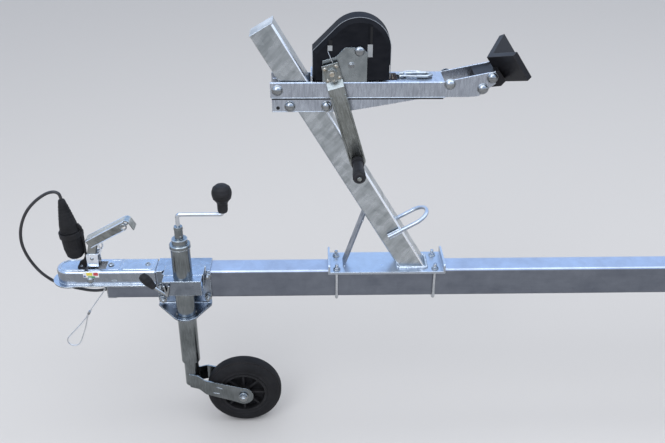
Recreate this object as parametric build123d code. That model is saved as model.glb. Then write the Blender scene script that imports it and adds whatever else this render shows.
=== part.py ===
"""Boat trailer with one central beam, one axle and a winch post, parked on its jockey wheel.

Millimetres. +X points forward to the coupling, +Y to the trailer's left and +Z up.
The origin is on the ground, at the middle of the trailer's length and width.
Places along the trailer are given as distances behind the coupling's nose.
"""
from build123d import *
from math import asin, atan2, cos, degrees, hypot, pi, radians, sin, sqrt, tan
import os

os.makedirs("parts", exist_ok=True)

# Overall sizes
LENGTH = 5300.0
NOSE_X = LENGTH / 2
REAR_OVERHANG = 170.0      # from the beam's rear end to the lamps' lenses
SHEET = 5.0                # usual thickness of brackets and plates
RUN_FIT = 0.05             # radial clearance of a pin or shaft that turns in its bore
FACE_GAP = 0.3             # gap between faces that move on each other
MOVE_GAP = 6.0             # gap between a moving piece and what it passes

# Central beam, a rectangular tube
BEAM_WIDTH = 60.0
BEAM_HEIGHT = 80.0
BEAM_WALL = 3.0
BEAM_BOTTOM = 362.0
BEAM_TOP = BEAM_BOTTOM + BEAM_HEIGHT
BEAM_CORNER = 6.0
BEAM_FRONT_BACK = 142.0    # beam's front end, behind the nose
BEAM_FRONT = NOSE_X - BEAM_FRONT_BACK
BEAM_REAR = -NOSE_X + REAR_OVERHANG
BEAM_HALF = BEAM_WIDTH / 2
END_CAP = 4.0

# Coupling head, pressed from steel
HEAD_LENGTH = 270.0
HEAD_WALL = 4.0
HEAD_DEPTH = 41.0          # from its top down to its flange's underside
HEAD_FLANGE_WIDTH = 8.5
HEAD_TOP_RADIUS = 7.0
BALL_RADIUS = 25.0
BALL_PLAY = 0.2
BALL_BACK = 47.0           # ball centre, behind the nose
CUP_SHOULDER = 12.5        # the cup's straight wall ends this far above the ball's centre
SOCKET_DEEP = 14.0         # ball centre above the flange's underside
NOSE_RADIUS = 33.0
CAVITY_FRONT_BACK = 78.0
SLOT_BACK = (91.0, 142.0)  # handle slot in the head's top, behind the nose
SLOT_HALF = 19.0
PAD_BACK = (183.0, 262.0)
PAD_HALF = 24.0
PAD_RISE = 1.5
HEAD_TOP = BEAM_TOP + HEAD_WALL
HEAD_BOTTOM = HEAD_TOP - HEAD_DEPTH
HEAD_REAR = NOSE_X - HEAD_LENGTH
HEAD_HALF = BEAM_HALF + HEAD_WALL
BALL_X = NOSE_X - BALL_BACK
BALL_Z = HEAD_BOTTOM + SOCKET_DEEP

# Coupling handle
HANDLE_PIN_RADIUS = 6.0
HANDLE_PIN_BACK = 104.0
HANDLE_PIN_RISE = 60.0     # above the beam's underside
HANDLE_ANGLE = 29.0
HANDLE_FRONT = (99.0, 164.0)   # behind the nose, above the beam's underside
HANDLE_LENGTH = 128.0
HANDLE_WIDTH = 30.0
HANDLE_DEPTH = 24.0
HANDLE_SHEET = 3.0
HANDLE_TAB = 34.0
HANDLE_BEND = 12.0
HANDLE_HOLE = (108.0, 14.0, 6.5)   # along the handle, below its top, radius
LEG_HALF = 12.0
LEG_SHEET = 4.0

# Plug that hangs in its holder in front of the handle
PLUG_BOTTOM = (67.0, 113.0)    # behind the nose, above the beam's underside
PLUG_TILT = 5.0
PLUG_RADIUS = 25.5
PLUG_LENGTH = 163.0
PLUG_NECK = 7.5
HOLDER_RING = (60.0, 74.0)     # along the plug, from its bottom
HOLDER_WALL = 3.0
HOLDER_FOOT = (70.0, 90.0)
HOLDER_RIB_HALF = 3.0

# Supply cable and safety wire
CABLE_RADIUS = 4.0
WIRE_RADIUS = 1.8
WIRE_Y = 26.0

# Jockey wheel assembly
JOCKEY_BACK = 350.0
JOCKEY_Y = 80.0
TUBE_RADIUS = 24.0
TUBE_WALL = 3.0
TUBE_TOP = 183.0           # above the beam's underside
TUBE_BOTTOM = -162.0
INNER_RADIUS = 19.0
INNER_WALL = 2.5
INNER_TOP = 60.0
INNER_BOTTOM = -238.0
BUSH_LENGTH = 22.0
NUT_LENGTH = 20.0
CLAMP_Z = (60.0, 101.0)
CLAMP_WALL = 4.5
CLAMP_FIT = 0.1            # radial clearance of the jockey tube in its clamp
CLAMP_FRONT_Y = 110.0
SPINDLE_RADIUS = 7.0
SPINDLE_LOW = -110.0
JOCKEY_RIBS = 8
CLAMP_BACK = (302.0, 398.0)
BRACKET_BACK = (274.0, 411.0)
BRACKET_LOW = -16.0
JOCKEY_TRAIL = 137.0
JOCKEY_TYRE_RADIUS = 100.0
JOCKEY_TYRE_WIDTH = 50.0
JOCKEY_RIM_RADIUS = 62.0
JOCKEY_RIM_WIDTH = 46.0
JOCKEY_AXLE_RADIUS = 6.0
FORK_SHEET = 4.0
FORK_HALF = 35.0           # outside of the fork's arms
CRANK_ROD = 5.0
CRANK_THROW = 111.0
CRANK_BEND = 7.0
CRANK_RISE = 274.0
KNOB_RADIUS = 24.0
JOCKEY_X = NOSE_X - JOCKEY_BACK
JOCKEY_WHEEL_X = JOCKEY_X - JOCKEY_TRAIL

# Winch post
POST_SIZE = 60.0
POST_WALL = 3.0
POST_LEAN = 30.5
POST_FOOT_BACK = 932.0
POST_LENGTH = 724.0
POST_CAP = 3.0
BASE_BACK = (715.0, 1015.0)
BASE_HALF = 50.0
BASE_SHEET = 6.0
BASE_LIP = 20.0
U_BOLT_RADIUS = 4.0
U_BOLT_Y = BEAM_HALF + U_BOLT_RADIUS
U_BOLT_BACKS = (737.0, 990.0)
BRACE_WIDTH = 40.0
BRACE_FOOT_BACK = 756.0
BRACE_SLOPE = 1 / 3        # how far the brace leans back for each unit of height
LOOP_RADIUS = 5.0
LOOP_ALONG = 115.0         # loop's place along the post, from its foot
LOOP_REACH = 80.0

# Winch arm
ARM_TOP = 590.0            # above the beam's underside
ARM_BACK = (582.0, 981.0)
ARM_SHEET = 4.0
ARM_SIDE = 37.0
ARM_TAIL_BACK = 1096.0
ARM_TAIL_RISE = 24.0
ARM_WEB_BACK = 679.0       # front end of the arm's top web
ARM_LOW = 73.0             # lower bracket's bottom, below the arm's top

# Bow stop
STOP_SPINE_BACK = ARM_TAIL_BACK - 16.0
STOP_SPINE_RISE = ARM_TOP + 45.0
STOP_HEIGHT = 70.0
STOP_DEPTH = 50.0
STOP_HALF = 77.0
STOP_WALL = 14.0
STOP_LEAN = 34.0

# Winch
DRUM_BACK = 785.0
DRUM_RISE = 73.0           # drum axis above the arm's top
PINION_BACK = 723.0
PINION_RISE = 26.0
PINION_RADIUS = 18.5
COVER_RADIUS = 72.5
COVER_HALF = 33.0
COVER_WALL = 3.0
COVER_RIM = 10.0           # bevel along the cover's side edges
COVER_FRONT_BACK = 679.0
COVER_FOOT = 3.0           # cover's lower edge above the arm
FRAME_SHEET = 3.0
DRUM_RADIUS = 58.0
DRUM_HALF = 25.0
DRUM_CORE = 20.0
STRAP_COIL = 50.0
STRAP_WIDTH = 44.0
STRAP_END_BACK = (842.0, 876.0)   # the strap's free end on the arm
WINCH_SHAFT = 8.0
CRANK_LENGTH = 220.0
CRANK_LEAN = 16.0
CRANK_WIDTH = 38.0
CRANK_SHEET = 5.0
GRIP_RADIUS = 15.0
GRIP_LENGTH = 95.0
CRANK_STAND = 8.0          # crank's head outside the frame's side plate
CRANK_JOG = 14.0
HOOK_ROD = 4.0
COVER_GROOVES = ((719.0, 674.0, 11.0), (809.0, 663.0, 12.0))   # place, lower end, width
DRUM_X = NOSE_X - DRUM_BACK
DRUM_Z = BEAM_BOTTOM + ARM_TOP + DRUM_RISE
PINION_X = NOSE_X - PINION_BACK
PINION_Z = BEAM_BOTTOM + ARM_TOP + PINION_RISE

# Axle, wheels and mudguards
AXLE_BACK = 3550.0         # wheel centres, behind the nose
TYRE_RADIUS = 289.0
TYRE_WIDTH = 157.0
TYRE_WALL = 9.0
RIM_RADIUS = 165.0
RIM_WIDTH = 128.0
RIM_SHEET = 4.0
WHEEL_Y = 820.0
AXLE_SIZE = 60.0
AXLE_WALL = 4.0
AXLE_HALF = 650.0
AXLE_PLATE = 6.0
SWING_LENGTH = 130.0
SWING_SHEET = 22.0
STUB_RADIUS = 15.0
HUB_RADIUS = 62.0
HUB_FACE = 850.0           # the flange face that the wheel bolts to
WHEEL_STUDS = 4
WHEEL_PCD = 100.0
WHEEL_VENTS = 10
AXLE_BOLT = 48.0
GUARD_ARC = 168.0
GUARD_RADIUS = 345.0
GUARD_WIDTH = 196.0
GUARD_SHEET = 3.0
GUARD_SKIRT = 55.0
GUARD_LIP = 20.0
GUARD_OUTER_Y = 930.0
AXLE_X = NOSE_X - AXLE_BACK
AXLE_Z = BEAM_BOTTOM - AXLE_PLATE - AXLE_SIZE / 2
SWING_DROP = AXLE_Z - TYRE_RADIUS
SWING_RUN = sqrt(SWING_LENGTH ** 2 - SWING_DROP ** 2)
AXLE_TUBE_X = AXLE_X + SWING_RUN

# Keel rollers, side supports and light board
ROLLER_BACKS = (2050.0, 3050.0, 4100.0, 5060.0)
ROLLER_RISE = 62.0         # roller axis above the beam's top
ROLLER_HALF = 60.0
ROLLER_END = 42.0
ROLLER_WAIST = 29.0
ROLLER_PIN = 8.0
ROLLER_BASE = 60.0
CROSS_BACK = 4420.0
CROSS_SIZE = 50.0
CROSS_WALL = 3.0
CROSS_HALF = 620.0
SIDE_Y = 470.0
SIDE_SIZE = 40.0
SIDE_TOP = 560.0
SIDE_LOW = 316.0
SIDE_PIN_Z = 545.0
SIDE_STAND = 6.0
SIDE_PAD_RISE = 55.0
CROSS_BOLT = CROSS_SIZE / 2 + 6
SIDE_X = NOSE_X - CROSS_BACK - CROSS_SIZE / 2 - SIDE_SIZE / 2
PAD_LENGTH = 520.0
PAD_WIDTH = 90.0
PAD_THICK = 26.0
PAD_LEAN = 20.0
BOARD_HALF = 780.0
BOARD_HEIGHT = 120.0
BOARD_SHEET = 2.5
BOARD_LIP = 30.0
BOARD_Z = 520.0
LAMP_Y = 640.0
LAMP_SIZE = (230.0, 100.0, 48.0)
PLATE_HOLES = 300.0


def slab(x, y, z):
    """A block between two X, two Y and two Z values."""
    low = [min(pair) for pair in (x, y, z)]
    high = [max(pair) for pair in (x, y, z)]
    centre = [(a + b) / 2 for a, b in zip(low, high)]
    return Pos(*centre) * Box(*[b - a for a, b in zip(low, high)])


def side_plate(points, y0, y1):
    """A plate whose outline is given in X and Z, between two Y values."""
    outline = Polyline(*[(x, y0, z) for x, z in points], close=True)
    return extrude(make_face(outline), amount=y1 - y0, dir=(0, 1, 0))


def plan_plate(points, z0, z1):
    """A plate whose outline is given in X and Y, between two Z values."""
    outline = Polyline(*[(x, y, z0) for x, y in points], close=True)
    return extrude(make_face(outline), amount=z1 - z0, dir=(0, 0, 1))


def rod(start, end, radius):
    """A round bar between two points."""
    path = Vector(*end) - Vector(*start)
    return extrude(Plane(origin=start, z_dir=path) * Circle(radius), amount=path.length)


def turned(points, x, z, y=0.0):
    """A solid turned about an axis along Y; points are (radius, place along Y)."""
    outline = Polyline(*[(x + r, y + along, z) for r, along in points], close=True)
    return revolve(make_face(outline), axis=Axis((x, 0, z), (0, 1, 0)))


def upright(points, x, y):
    """A solid turned about a vertical axis; points are (radius, Z)."""
    outline = Polyline(*[(x + r, y, z) for r, z in points], close=True)
    return revolve(make_face(outline), axis=Axis((x, y, 0), (0, 0, 1)))


def bore_y(x, z, radius, y0, y1):
    """A cylinder along Y, to add or to cut."""
    return rod((x, y0, z), (x, y1, z), radius)


def place(back, rise):
    """X and Z from a distance behind the nose and a height above the beam's underside."""
    return NOSE_X - back, BEAM_BOTTOM + rise


def both_sides(solid):
    """A solid and its mirror image across the trailer's middle plane."""
    return solid + mirror(solid, about=Plane.XZ)


def rounded(solid, axis, radius):
    """A solid with its edges along one axis rounded."""
    return fillet(solid.edges().filter_by(axis), radius)


def drawbar():
    """The beam: a rectangular tube with rounded corners, open in front for the cable."""
    tube = slab((BEAM_REAR, BEAM_FRONT), (-BEAM_HALF, BEAM_HALF), (BEAM_BOTTOM, BEAM_TOP))
    tube = rounded(tube, Axis.X, BEAM_CORNER)
    inside = slab((BEAM_REAR - 1, BEAM_FRONT + 1),
                  (BEAM_WALL - BEAM_HALF, BEAM_HALF - BEAM_WALL),
                  (BEAM_BOTTOM + BEAM_WALL, BEAM_TOP - BEAM_WALL))
    return tube - rounded(inside, Axis.X, BEAM_CORNER - BEAM_WALL)


def drawbar_end_cap():
    """The plastic cap in the beam's rear end."""
    skin = slab((BEAM_REAR - END_CAP, BEAM_REAR), (-BEAM_HALF, BEAM_HALF), (BEAM_BOTTOM, BEAM_TOP))
    skin = rounded(skin, Axis.X, BEAM_CORNER)
    inner = BEAM_HALF - BEAM_WALL
    tongue = slab((BEAM_REAR, BEAM_REAR + 20), (-inner, inner),
                  (BEAM_BOTTOM + BEAM_WALL, BEAM_TOP - BEAM_WALL))
    return skin + rounded(tongue, Axis.X, BEAM_CORNER - BEAM_WALL)


def coupling_head():
    """The pressed head: a channel over the beam, a domed nose with the ball socket, a flange."""
    body = slab((HEAD_REAR, BALL_X), (-HEAD_HALF, HEAD_HALF), (HEAD_BOTTOM, HEAD_TOP))
    body += Pos(BALL_X, 0, (HEAD_BOTTOM + HEAD_TOP) / 2) * Cylinder(NOSE_RADIUS + 1, HEAD_DEPTH)
    crown = body.edges().filter_by(lambda e: abs(e.center().Z - HEAD_TOP) < 0.01)
    crown = [e for e in crown if e.center().X > HEAD_REAR + 1]
    body = fillet(crown, HEAD_TOP_RADIUS)
    flange_half = HEAD_HALF + HEAD_FLANGE_WIDTH
    flange_z = (HEAD_BOTTOM, HEAD_BOTTOM + HEAD_WALL)
    body += slab((HEAD_REAR, BALL_X), (-flange_half, flange_half), flange_z)
    body += Pos(BALL_X, 0, sum(flange_z) / 2) * Cylinder(BALL_BACK, HEAD_WALL)
    pad = slab((NOSE_X - PAD_BACK[1], NOSE_X - PAD_BACK[0]), (-PAD_HALF, PAD_HALF),
               (HEAD_TOP - 1, HEAD_TOP + PAD_RISE))
    body += fillet(pad.edges().filter_by(Axis.Z), 6)
    over_beam = slab((HEAD_REAR - 1, BEAM_FRONT), (-BEAM_HALF, BEAM_HALF),
                     (HEAD_BOTTOM - 1, BEAM_TOP))
    cavity_half = HEAD_HALF - 8
    cavity = slab((BEAM_FRONT - 1, NOSE_X - CAVITY_FRONT_BACK), (-cavity_half, cavity_half),
                  (HEAD_BOTTOM - 1, BEAM_TOP))
    slot = slab((NOSE_X - SLOT_BACK[1], NOSE_X - SLOT_BACK[0]), (-SLOT_HALF, SLOT_HALF),
                (BEAM_TOP - 1, HEAD_TOP + 10))
    radius, shoulder = BALL_RADIUS + BALL_PLAY, BALL_Z + CUP_SHOULDER
    top = BALL_Z + radius
    dome = (radius ** 2 + (top - shoulder) ** 2) / (2 * (top - shoulder))
    half_turn = asin(radius / dome) / 2
    on_dome = (BALL_X + dome * sin(half_turn), 0, top - dome + dome * cos(half_turn))
    wall = Polyline((BALL_X, 0, top), (BALL_X, 0, HEAD_BOTTOM - 1),
                    (BALL_X + radius, 0, HEAD_BOTTOM - 1), (BALL_X + radius, 0, shoulder))
    cup = wall + ThreePointArc((BALL_X + radius, 0, shoulder), on_dome, (BALL_X, 0, top))
    socket = revolve(make_face(cup), axis=Axis((BALL_X, 0, 0), (0, 0, 1)))
    body = body - over_beam - cavity - slot - socket
    pin_x, pin_z = place(HANDLE_PIN_BACK, HANDLE_PIN_RISE)
    pin = bore_y(pin_x, pin_z, HANDLE_PIN_RADIUS, -HEAD_HALF, HEAD_HALF)
    return body + pin + both_sides(bore_y(pin_x, pin_z, 9, HEAD_HALF, HEAD_HALF + 3))


def sheet_outline(points, thickness, radius):
    """The closed outline of a bent sheet; the sheet lies to the right of the way along it."""
    ways = [(b - a).normalized() for a, b in zip(points, points[1:])]
    normals = [Vector(w.Z, 0, -w.X) for w in ways]
    inner, inner_radii, outer_radii = [points[0] + normals[0] * thickness], [], []
    for corner, n1, n2, w1 in zip(points[1:], normals, normals[1:], ways):
        inner.append(corner + (n1 + n2) * (thickness / (1 + n1.dot(n2))))
        turns_right = n2.dot(w1) < 0
        outer_radii.append(radius if turns_right else radius - thickness)
        inner_radii.append(radius - thickness if turns_right else radius)
    inner.append(points[-1] + normals[-1] * thickness)
    if len(points) == 2:
        return Polyline(*points, *inner[::-1], close=True)
    outside = FilletPolyline(*points, radius=outer_radii)
    inside = FilletPolyline(*inner, radius=inner_radii)
    return outside + inside + Line(points[0], inner[0]) + Line(points[-1], inner[-1])


def bent_sheet(points, thickness, radius, y0, y1):
    """A sheet bent along Y, with its path given in X and Z, between two Y values."""
    outline = sheet_outline([Vector(x, y0, z) for x, z in points], thickness, radius)
    return extrude(make_face(outline), amount=y1 - y0, dir=(0, 1, 0))


def on_handle(along, above):
    """X and Z of a point along the raised handle and above its top."""
    x, z = place(*HANDLE_FRONT)
    lean = radians(HANDLE_ANGLE)
    return x - along * cos(lean) + above * sin(lean), z + along * sin(lean) + above * cos(lean)


def coupling_handle():
    """The raised handle: a bent channel on two legs that turn on the head's pin."""
    half = HANDLE_WIDTH / 2
    path = [(0, 0), (HANDLE_LENGTH, 0), (HANDLE_LENGTH, -HANDLE_TAB)]
    top = bent_sheet([on_handle(*p) for p in path[::-1]], HANDLE_SHEET, HANDLE_BEND, -half, half)
    end = HANDLE_LENGTH - HANDLE_BEND
    outline = [(0, -1), (end, -1), (end, 8 - HANDLE_DEPTH), (end - 8, -HANDLE_DEPTH),
               (0, -HANDLE_DEPTH)]
    wall = side_plate([on_handle(*p) for p in outline], half - HANDLE_SHEET, half)
    along, below, radius = HANDLE_HOLE
    hole_x, hole_z = on_handle(along, -below)
    wall -= bore_y(hole_x, hole_z, radius, half - 10, half + 10)
    pin_x, pin_z = place(HANDLE_PIN_BACK, HANDLE_PIN_RISE)
    outline = [(94.5, 60), (96, 92), (99, 128), (104, 148), (128, 162), (123, 140), (113, 100),
               (113.5, 60)]
    leg = side_plate([place(*p) for p in outline], LEG_HALF - LEG_SHEET, LEG_HALF)
    leg += bore_y(pin_x, pin_z, 9.5, LEG_HALF - LEG_SHEET, LEG_HALF)
    front, rear = place(98, 126), place(111, 106)
    block = slab((front[0], rear[0]), (-LEG_HALF, LEG_HALF), (rear[1], front[1]))
    shoe = [(4, -HANDLE_DEPTH), (30, -HANDLE_DEPTH), (30, 5 - HANDLE_DEPTH), (4, 5 - HANDLE_DEPTH)]
    shoe = side_plate([on_handle(*p) for p in shoe], HANDLE_SHEET - half, half - HANDLE_SHEET)
    handle = top + both_sides(wall) + both_sides(leg) + block + shoe
    return handle - bore_y(pin_x, pin_z, HANDLE_PIN_RADIUS + RUN_FIT, -40, 40)


def along_plug(distance):
    """A point on the plug's axis, at a distance from its bottom."""
    x, z = place(*PLUG_BOTTOM)
    lean = radians(PLUG_TILT)
    return x + distance * sin(lean), 0.0, z + distance * cos(lean)


def on_plug(solid):
    """A solid made upright at the origin, placed on the plug's axis."""
    x, z = place(*PLUG_BOTTOM)
    return Pos(x, 0, z) * Rot(0, PLUG_TILT, 0) * solid


def supply_plug():
    """The plug: a ribbed barrel with a long tapered gland for the cable."""
    outline = [(0, 0), (17, 0), (22, 6), (PLUG_RADIUS - 1, 22), (PLUG_RADIUS, 58),
               (PLUG_RADIUS - 1.5, 76), (22, 96), (PLUG_NECK + 1.5, PLUG_LENGTH - 4),
               (PLUG_NECK, PLUG_LENGTH), (0, PLUG_LENGTH)]
    return on_plug(upright(outline, 0, 0))


def plug_holder():
    """The plastic holder: a foot on the head, a rib and a ring round the plug."""
    ring_in = PLUG_RADIUS
    low, high = HOLDER_RING
    ring = upright([(ring_in, low), (ring_in + HOLDER_WALL, low), (ring_in + HOLDER_WALL, high),
                    (ring_in, high)], 0, 0)
    ring = on_plug(ring)
    outline = [(72, 84), (90, 84), (90, 98), (94, 112), (94, 186), (91, 198), (84, 208), (79, 204),
               (86, 194), (89.5, 182), (89.5, 115), (84, 102), (74, 96)]
    rib = side_plate([place(*p) for p in outline], -HOLDER_RIB_HALF, HOLDER_RIB_HALF)
    link = slab((place(93, 0)[0], place(84, 0)[0]), (-8, 8), (place(0, 174)[1], place(0, 186)[1]))
    foot = slab((NOSE_X - HOLDER_FOOT[1], NOSE_X - HOLDER_FOOT[0]), (-14, 14),
                (HEAD_TOP, HEAD_TOP + 4))
    return ring + (rib + link + foot - supply_plug())


# Points of the supply cable: behind the nose, left of the middle, above the beam's underside
CABLE_ROUTE = [(134, 0, 10), (114, -8, 0.4), (86, -20, -8), (54.5, -31, -9.5), (25.5, -33.5, -3),
               (-0.5, -29, 9), (-21, -21, 30), (-38.5, -15, 54), (-52.5, -11.5, 81),
               (-64, -10, 110), (-71, -10, 142),
               (-69, -10, 176), (-58, -9, 210), (-40, -7, 242), (-16, -5, 268), (8, -4, 286),
               (24, -3, 294), (38, -1.5, 297), (48, -0.5, 293.5)]
CABLE_EXIT = 11.0          # the cable's straight run out of the plug
WIRE_ROUTE = [(134, 26, 25), (121, 26.4, 6), (107.5, 27.2, -12), (91.5, 28, -34.5),
              (77, 28.8, -58), (62, 29.4, -76.5), (45.5, 30, -95), (28.5, 30.4, -113),
              (15.5, 30.4, -127.5), (15.5, 30.4, -141.5), (25.5, 30.2, -151), (39.5, 29.8, -151),
              (49, 29.2, -141.5), (58.5, 28, -119), (70, 26.6, -89.5), (75.5, 25.6, -67.5),
              (81.3, 25.2, -50.6)]


def tube_path(points, radius):
    """A round tube along straight runs joined by arcs as large as the runs allow."""
    runs = [b - a for a, b in zip(points, points[1:])]
    turns = [a.get_angle(b) for a, b in zip(runs, runs[1:])]
    radii = []
    for turn, before, after in zip(turns, runs, runs[1:]):
        radii.append(0.45 * min(before.length, after.length) / tan(radians(turn) / 2))
    path = FilletPolyline(*points, radius=radii)
    section = Plane(origin=path @ 0, z_dir=path % 0) * Circle(radius)
    tube = sweep(section, path=path)
    print(f"tube: length {path.length:.0f}, largest turn {max(turns):.0f}, volume ratio "
          f"{tube.volume / (pi * radius ** 2 * path.length):.4f}, radii "
          + " ".join(f"{value:.0f}" for value in radii))
    return tube


def supply_cable():
    """The cable from the beam's mouth round to the plug's gland."""
    ends = [Vector(*along_plug(PLUG_LENGTH + past)) for past in (CABLE_EXIT, 0)]
    return tube_path(route_points(CABLE_ROUTE) + ends, CABLE_RADIUS)


def cable_clip():
    """The clip that holds the cable in the beam's mouth."""
    x = NOSE_X - CABLE_ROUTE[0][0]
    z = BEAM_BOTTOM + CABLE_ROUTE[0][2]
    clip = slab((BEAM_FRONT - 22, x), (-9, 9), (BEAM_BOTTOM + BEAM_WALL, z + 8))
    clip = fillet(clip.edges().filter_by(Axis.X).sort_by(Axis.Z)[-2:], 6)
    start, second = route_points(CABLE_ROUTE)[:2]
    return clip - rod(start, start + (second - start).normalized() * 8, CABLE_RADIUS)


def wire_hook():
    """The wire's hook over the beam's front edge, with the ferrule on the wire's end."""
    edge = BEAM_FRONT + 2.1
    low = BEAM_BOTTOM - 2.1
    y = WIRE_Y - 4
    path = FilletPolyline((edge, y, BEAM_BOTTOM + 32), (edge, y, low), (edge - 22, y, low),
                          radius=2.3)
    section = Plane(origin=path @ 0, z_dir=path % 0) * Circle(2)
    hook = sweep(section, path=path)
    start, second = route_points(WIRE_ROUTE)[:2]
    sleeve = rod(start, start + (start - second).normalized() * 7, 3.2)
    return hook + sleeve


def route_points(route):
    """The points of a route given behind the nose, left of the middle and above the underside."""
    return [Vector(NOSE_X - b, y, BEAM_BOTTOM + z) for b, y, z in route]


def wire_sleeve():
    """The crimped sleeve that closes the wire's loop; the wire runs through it once."""
    points = route_points(WIRE_ROUTE)
    before, end = points[-2:]
    runs = list(zip(points, points[1:]))[:len(points) // 2]
    through = min(runs, key=lambda run: ((run[0] + run[1]) / 2 - end).length)
    way = (through[1] - through[0]).normalized()
    body = rod(end - way * 10, end, 3.3)
    near = through[0] + way * (end - through[0]).dot(way)
    body += rod(near - way * 10, near, 3.3)
    body -= rod(near - way * 40, near + way * 40, WIRE_RADIUS + 0.2)
    return body - rod(end, end + (before - end).normalized() * 6, WIRE_RADIUS)


def safety_wire():
    """The wire rope loop that hangs from the beam's front end."""
    return tube_path(route_points(WIRE_ROUTE), WIRE_RADIUS)


def around_tube(outline_z, y_side):
    """The part of a clamp half that hugs the jockey tube, on one side of its axis."""
    inner = TUBE_RADIUS + CLAMP_FIT
    shell = upright([(inner, outline_z[0]), (inner + CLAMP_WALL, outline_z[0]),
                     (inner + CLAMP_WALL, outline_z[1]), (inner, outline_z[1])], JOCKEY_X, JOCKEY_Y)
    return shell & slab((JOCKEY_X - 60, JOCKEY_X + 60), y_side, (outline_z[0] - 1, outline_z[1] + 1))


def clamp_half(y_wall, y_joint, y_side):
    """One half of the clamp: a wall, two flanges with half-round cuts and the part round the tube."""
    x = (NOSE_X - CLAMP_BACK[1], NOSE_X - CLAMP_BACK[0])
    low, high = [BEAM_BOTTOM + z for z in CLAMP_Z]
    half = slab(x, (y_wall, y_joint), (high - CLAMP_WALL, high))
    half += slab(x, (y_wall, y_joint), (low, low + CLAMP_WALL))
    half -= rod((JOCKEY_X, JOCKEY_Y, low - 5), (JOCKEY_X, JOCKEY_Y, high + 5), TUBE_RADIUS + CLAMP_FIT)
    return half + around_tube((low, high), y_side)


def jockey_bracket():
    """The bracket on the beam: a saddle, a side plate, a lower guide and the clamp's rear half."""
    x = (NOSE_X - BRACKET_BACK[1], NOSE_X - BRACKET_BACK[0])
    low = BEAM_BOTTOM + BRACKET_LOW
    plate_y = (BEAM_HALF, BEAM_HALF + SHEET)
    bracket = slab(x, plate_y, (low, BEAM_TOP + SHEET))
    bracket += slab(x, (-BEAM_HALF, plate_y[1]), (BEAM_TOP, BEAM_TOP + SHEET))
    scallop = [(x[0] + 12, 40), (x[0] + 24, 17), (x[1] - 24, 17), (x[1] - 12, 40)]
    bracket -= plan_plate(scallop, BEAM_TOP - 4, BEAM_TOP + 20)
    guide = plan_plate([(x[0], plate_y[0]), (x[1], plate_y[0]), (x[1], 44), (JOCKEY_X + 27, 104),
                        (JOCKEY_X - 27, 104), (x[0], 44)], low, low + SHEET)
    guide += Pos(JOCKEY_X, JOCKEY_Y, low + SHEET / 2) * Cylinder(36, SHEET)
    guide -= rod((JOCKEY_X, JOCKEY_Y, low - 5), (JOCKEY_X, JOCKEY_Y, low + 20), TUBE_RADIUS + 1)
    bracket += guide
    for cheek in (NOSE_X - CLAMP_BACK[0], NOSE_X - CLAMP_BACK[1]):
        side = slab((cheek - 2, cheek + 2), (plate_y[1], JOCKEY_Y - 4),
                    (BEAM_BOTTOM + CLAMP_Z[0], BEAM_BOTTOM + CLAMP_Z[1]))
        bracket += side
    rear = clamp_half(plate_y[0] + 1, JOCKEY_Y - FACE_GAP, (0, JOCKEY_Y - FACE_GAP))
    rear -= slab(x, (0, plate_y[0]), (low, BEAM_BOTTOM + CLAMP_Z[1] + SHEET))
    return bracket + rear


def jockey_clamp():
    """The clamp's front half, a pressed plate bolted over the jockey tube."""
    front = clamp_half(CLAMP_FRONT_Y, JOCKEY_Y + FACE_GAP, (JOCKEY_Y + FACE_GAP, 200))
    x = (NOSE_X - CLAMP_BACK[1], NOSE_X - CLAMP_BACK[0])
    z = [BEAM_BOTTOM + v for v in CLAMP_Z]
    front += slab(x, (CLAMP_FRONT_Y - CLAMP_WALL, CLAMP_FRONT_Y), z)
    inner = TUBE_RADIUS + CLAMP_FIT
    return front - rod((JOCKEY_X, JOCKEY_Y, z[0] - 5), (JOCKEY_X, JOCKEY_Y, z[1] + 5), inner)


def jockey_clamp_lever():
    """The clamp's lever: a fork, a bent rod and a tapered grip."""
    y = CLAMP_FRONT_Y + 4
    foot = (*place(312, 66), y)
    pivot = (foot[0], y, foot[1])
    root_x, root_z = place(281, 90)
    tip_x, tip_z = place(252, 122)
    lever = rod(pivot, (root_x, y, root_z), 4)
    fork = [place(*p) for p in ((304, 92), (309, 92), (312, 78), (317, 92), (322, 92), (316, 60),
                                (309, 60))]
    lever += side_plate(fork, CLAMP_FRONT_Y, CLAMP_FRONT_Y + 4)
    way = Vector(tip_x - root_x, -5, tip_z - root_z)
    grip = upright([(0, -4), (6, -4), (8, 0), (12, 18), (12.5, 30), (9, 41), (0, way.length)], 0, 0)
    return lever + Plane(origin=(root_x, y, root_z), z_dir=way).location * grip


def jockey_outer_tube():
    """The outer tube with its guide bush below and its stepped cap above."""
    bore = TUBE_RADIUS - TUBE_WALL
    rod_hole = CRANK_ROD + RUN_FIT
    guide = INNER_RADIUS + RUN_FIT
    top = TUBE_TOP
    outline = [(guide, TUBE_BOTTOM), (TUBE_RADIUS, TUBE_BOTTOM), (TUBE_RADIUS, top), (26, top),
               (26, top + 10), (24, top + 12), (19.5, top + 12), (18.5, top + 24), (17, top + 26),
               (10.5, top + 26), (10.5, top + 52), (11.5, top + 52), (10.5, top + 59),
               (rod_hole, top + 59), (rod_hole, top), (bore, top), (bore, TUBE_BOTTOM + BUSH_LENGTH),
               (guide, TUBE_BOTTOM + BUSH_LENGTH)]
    return upright([(r, BEAM_BOTTOM + z) for r, z in outline], JOCKEY_X, JOCKEY_Y)


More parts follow.
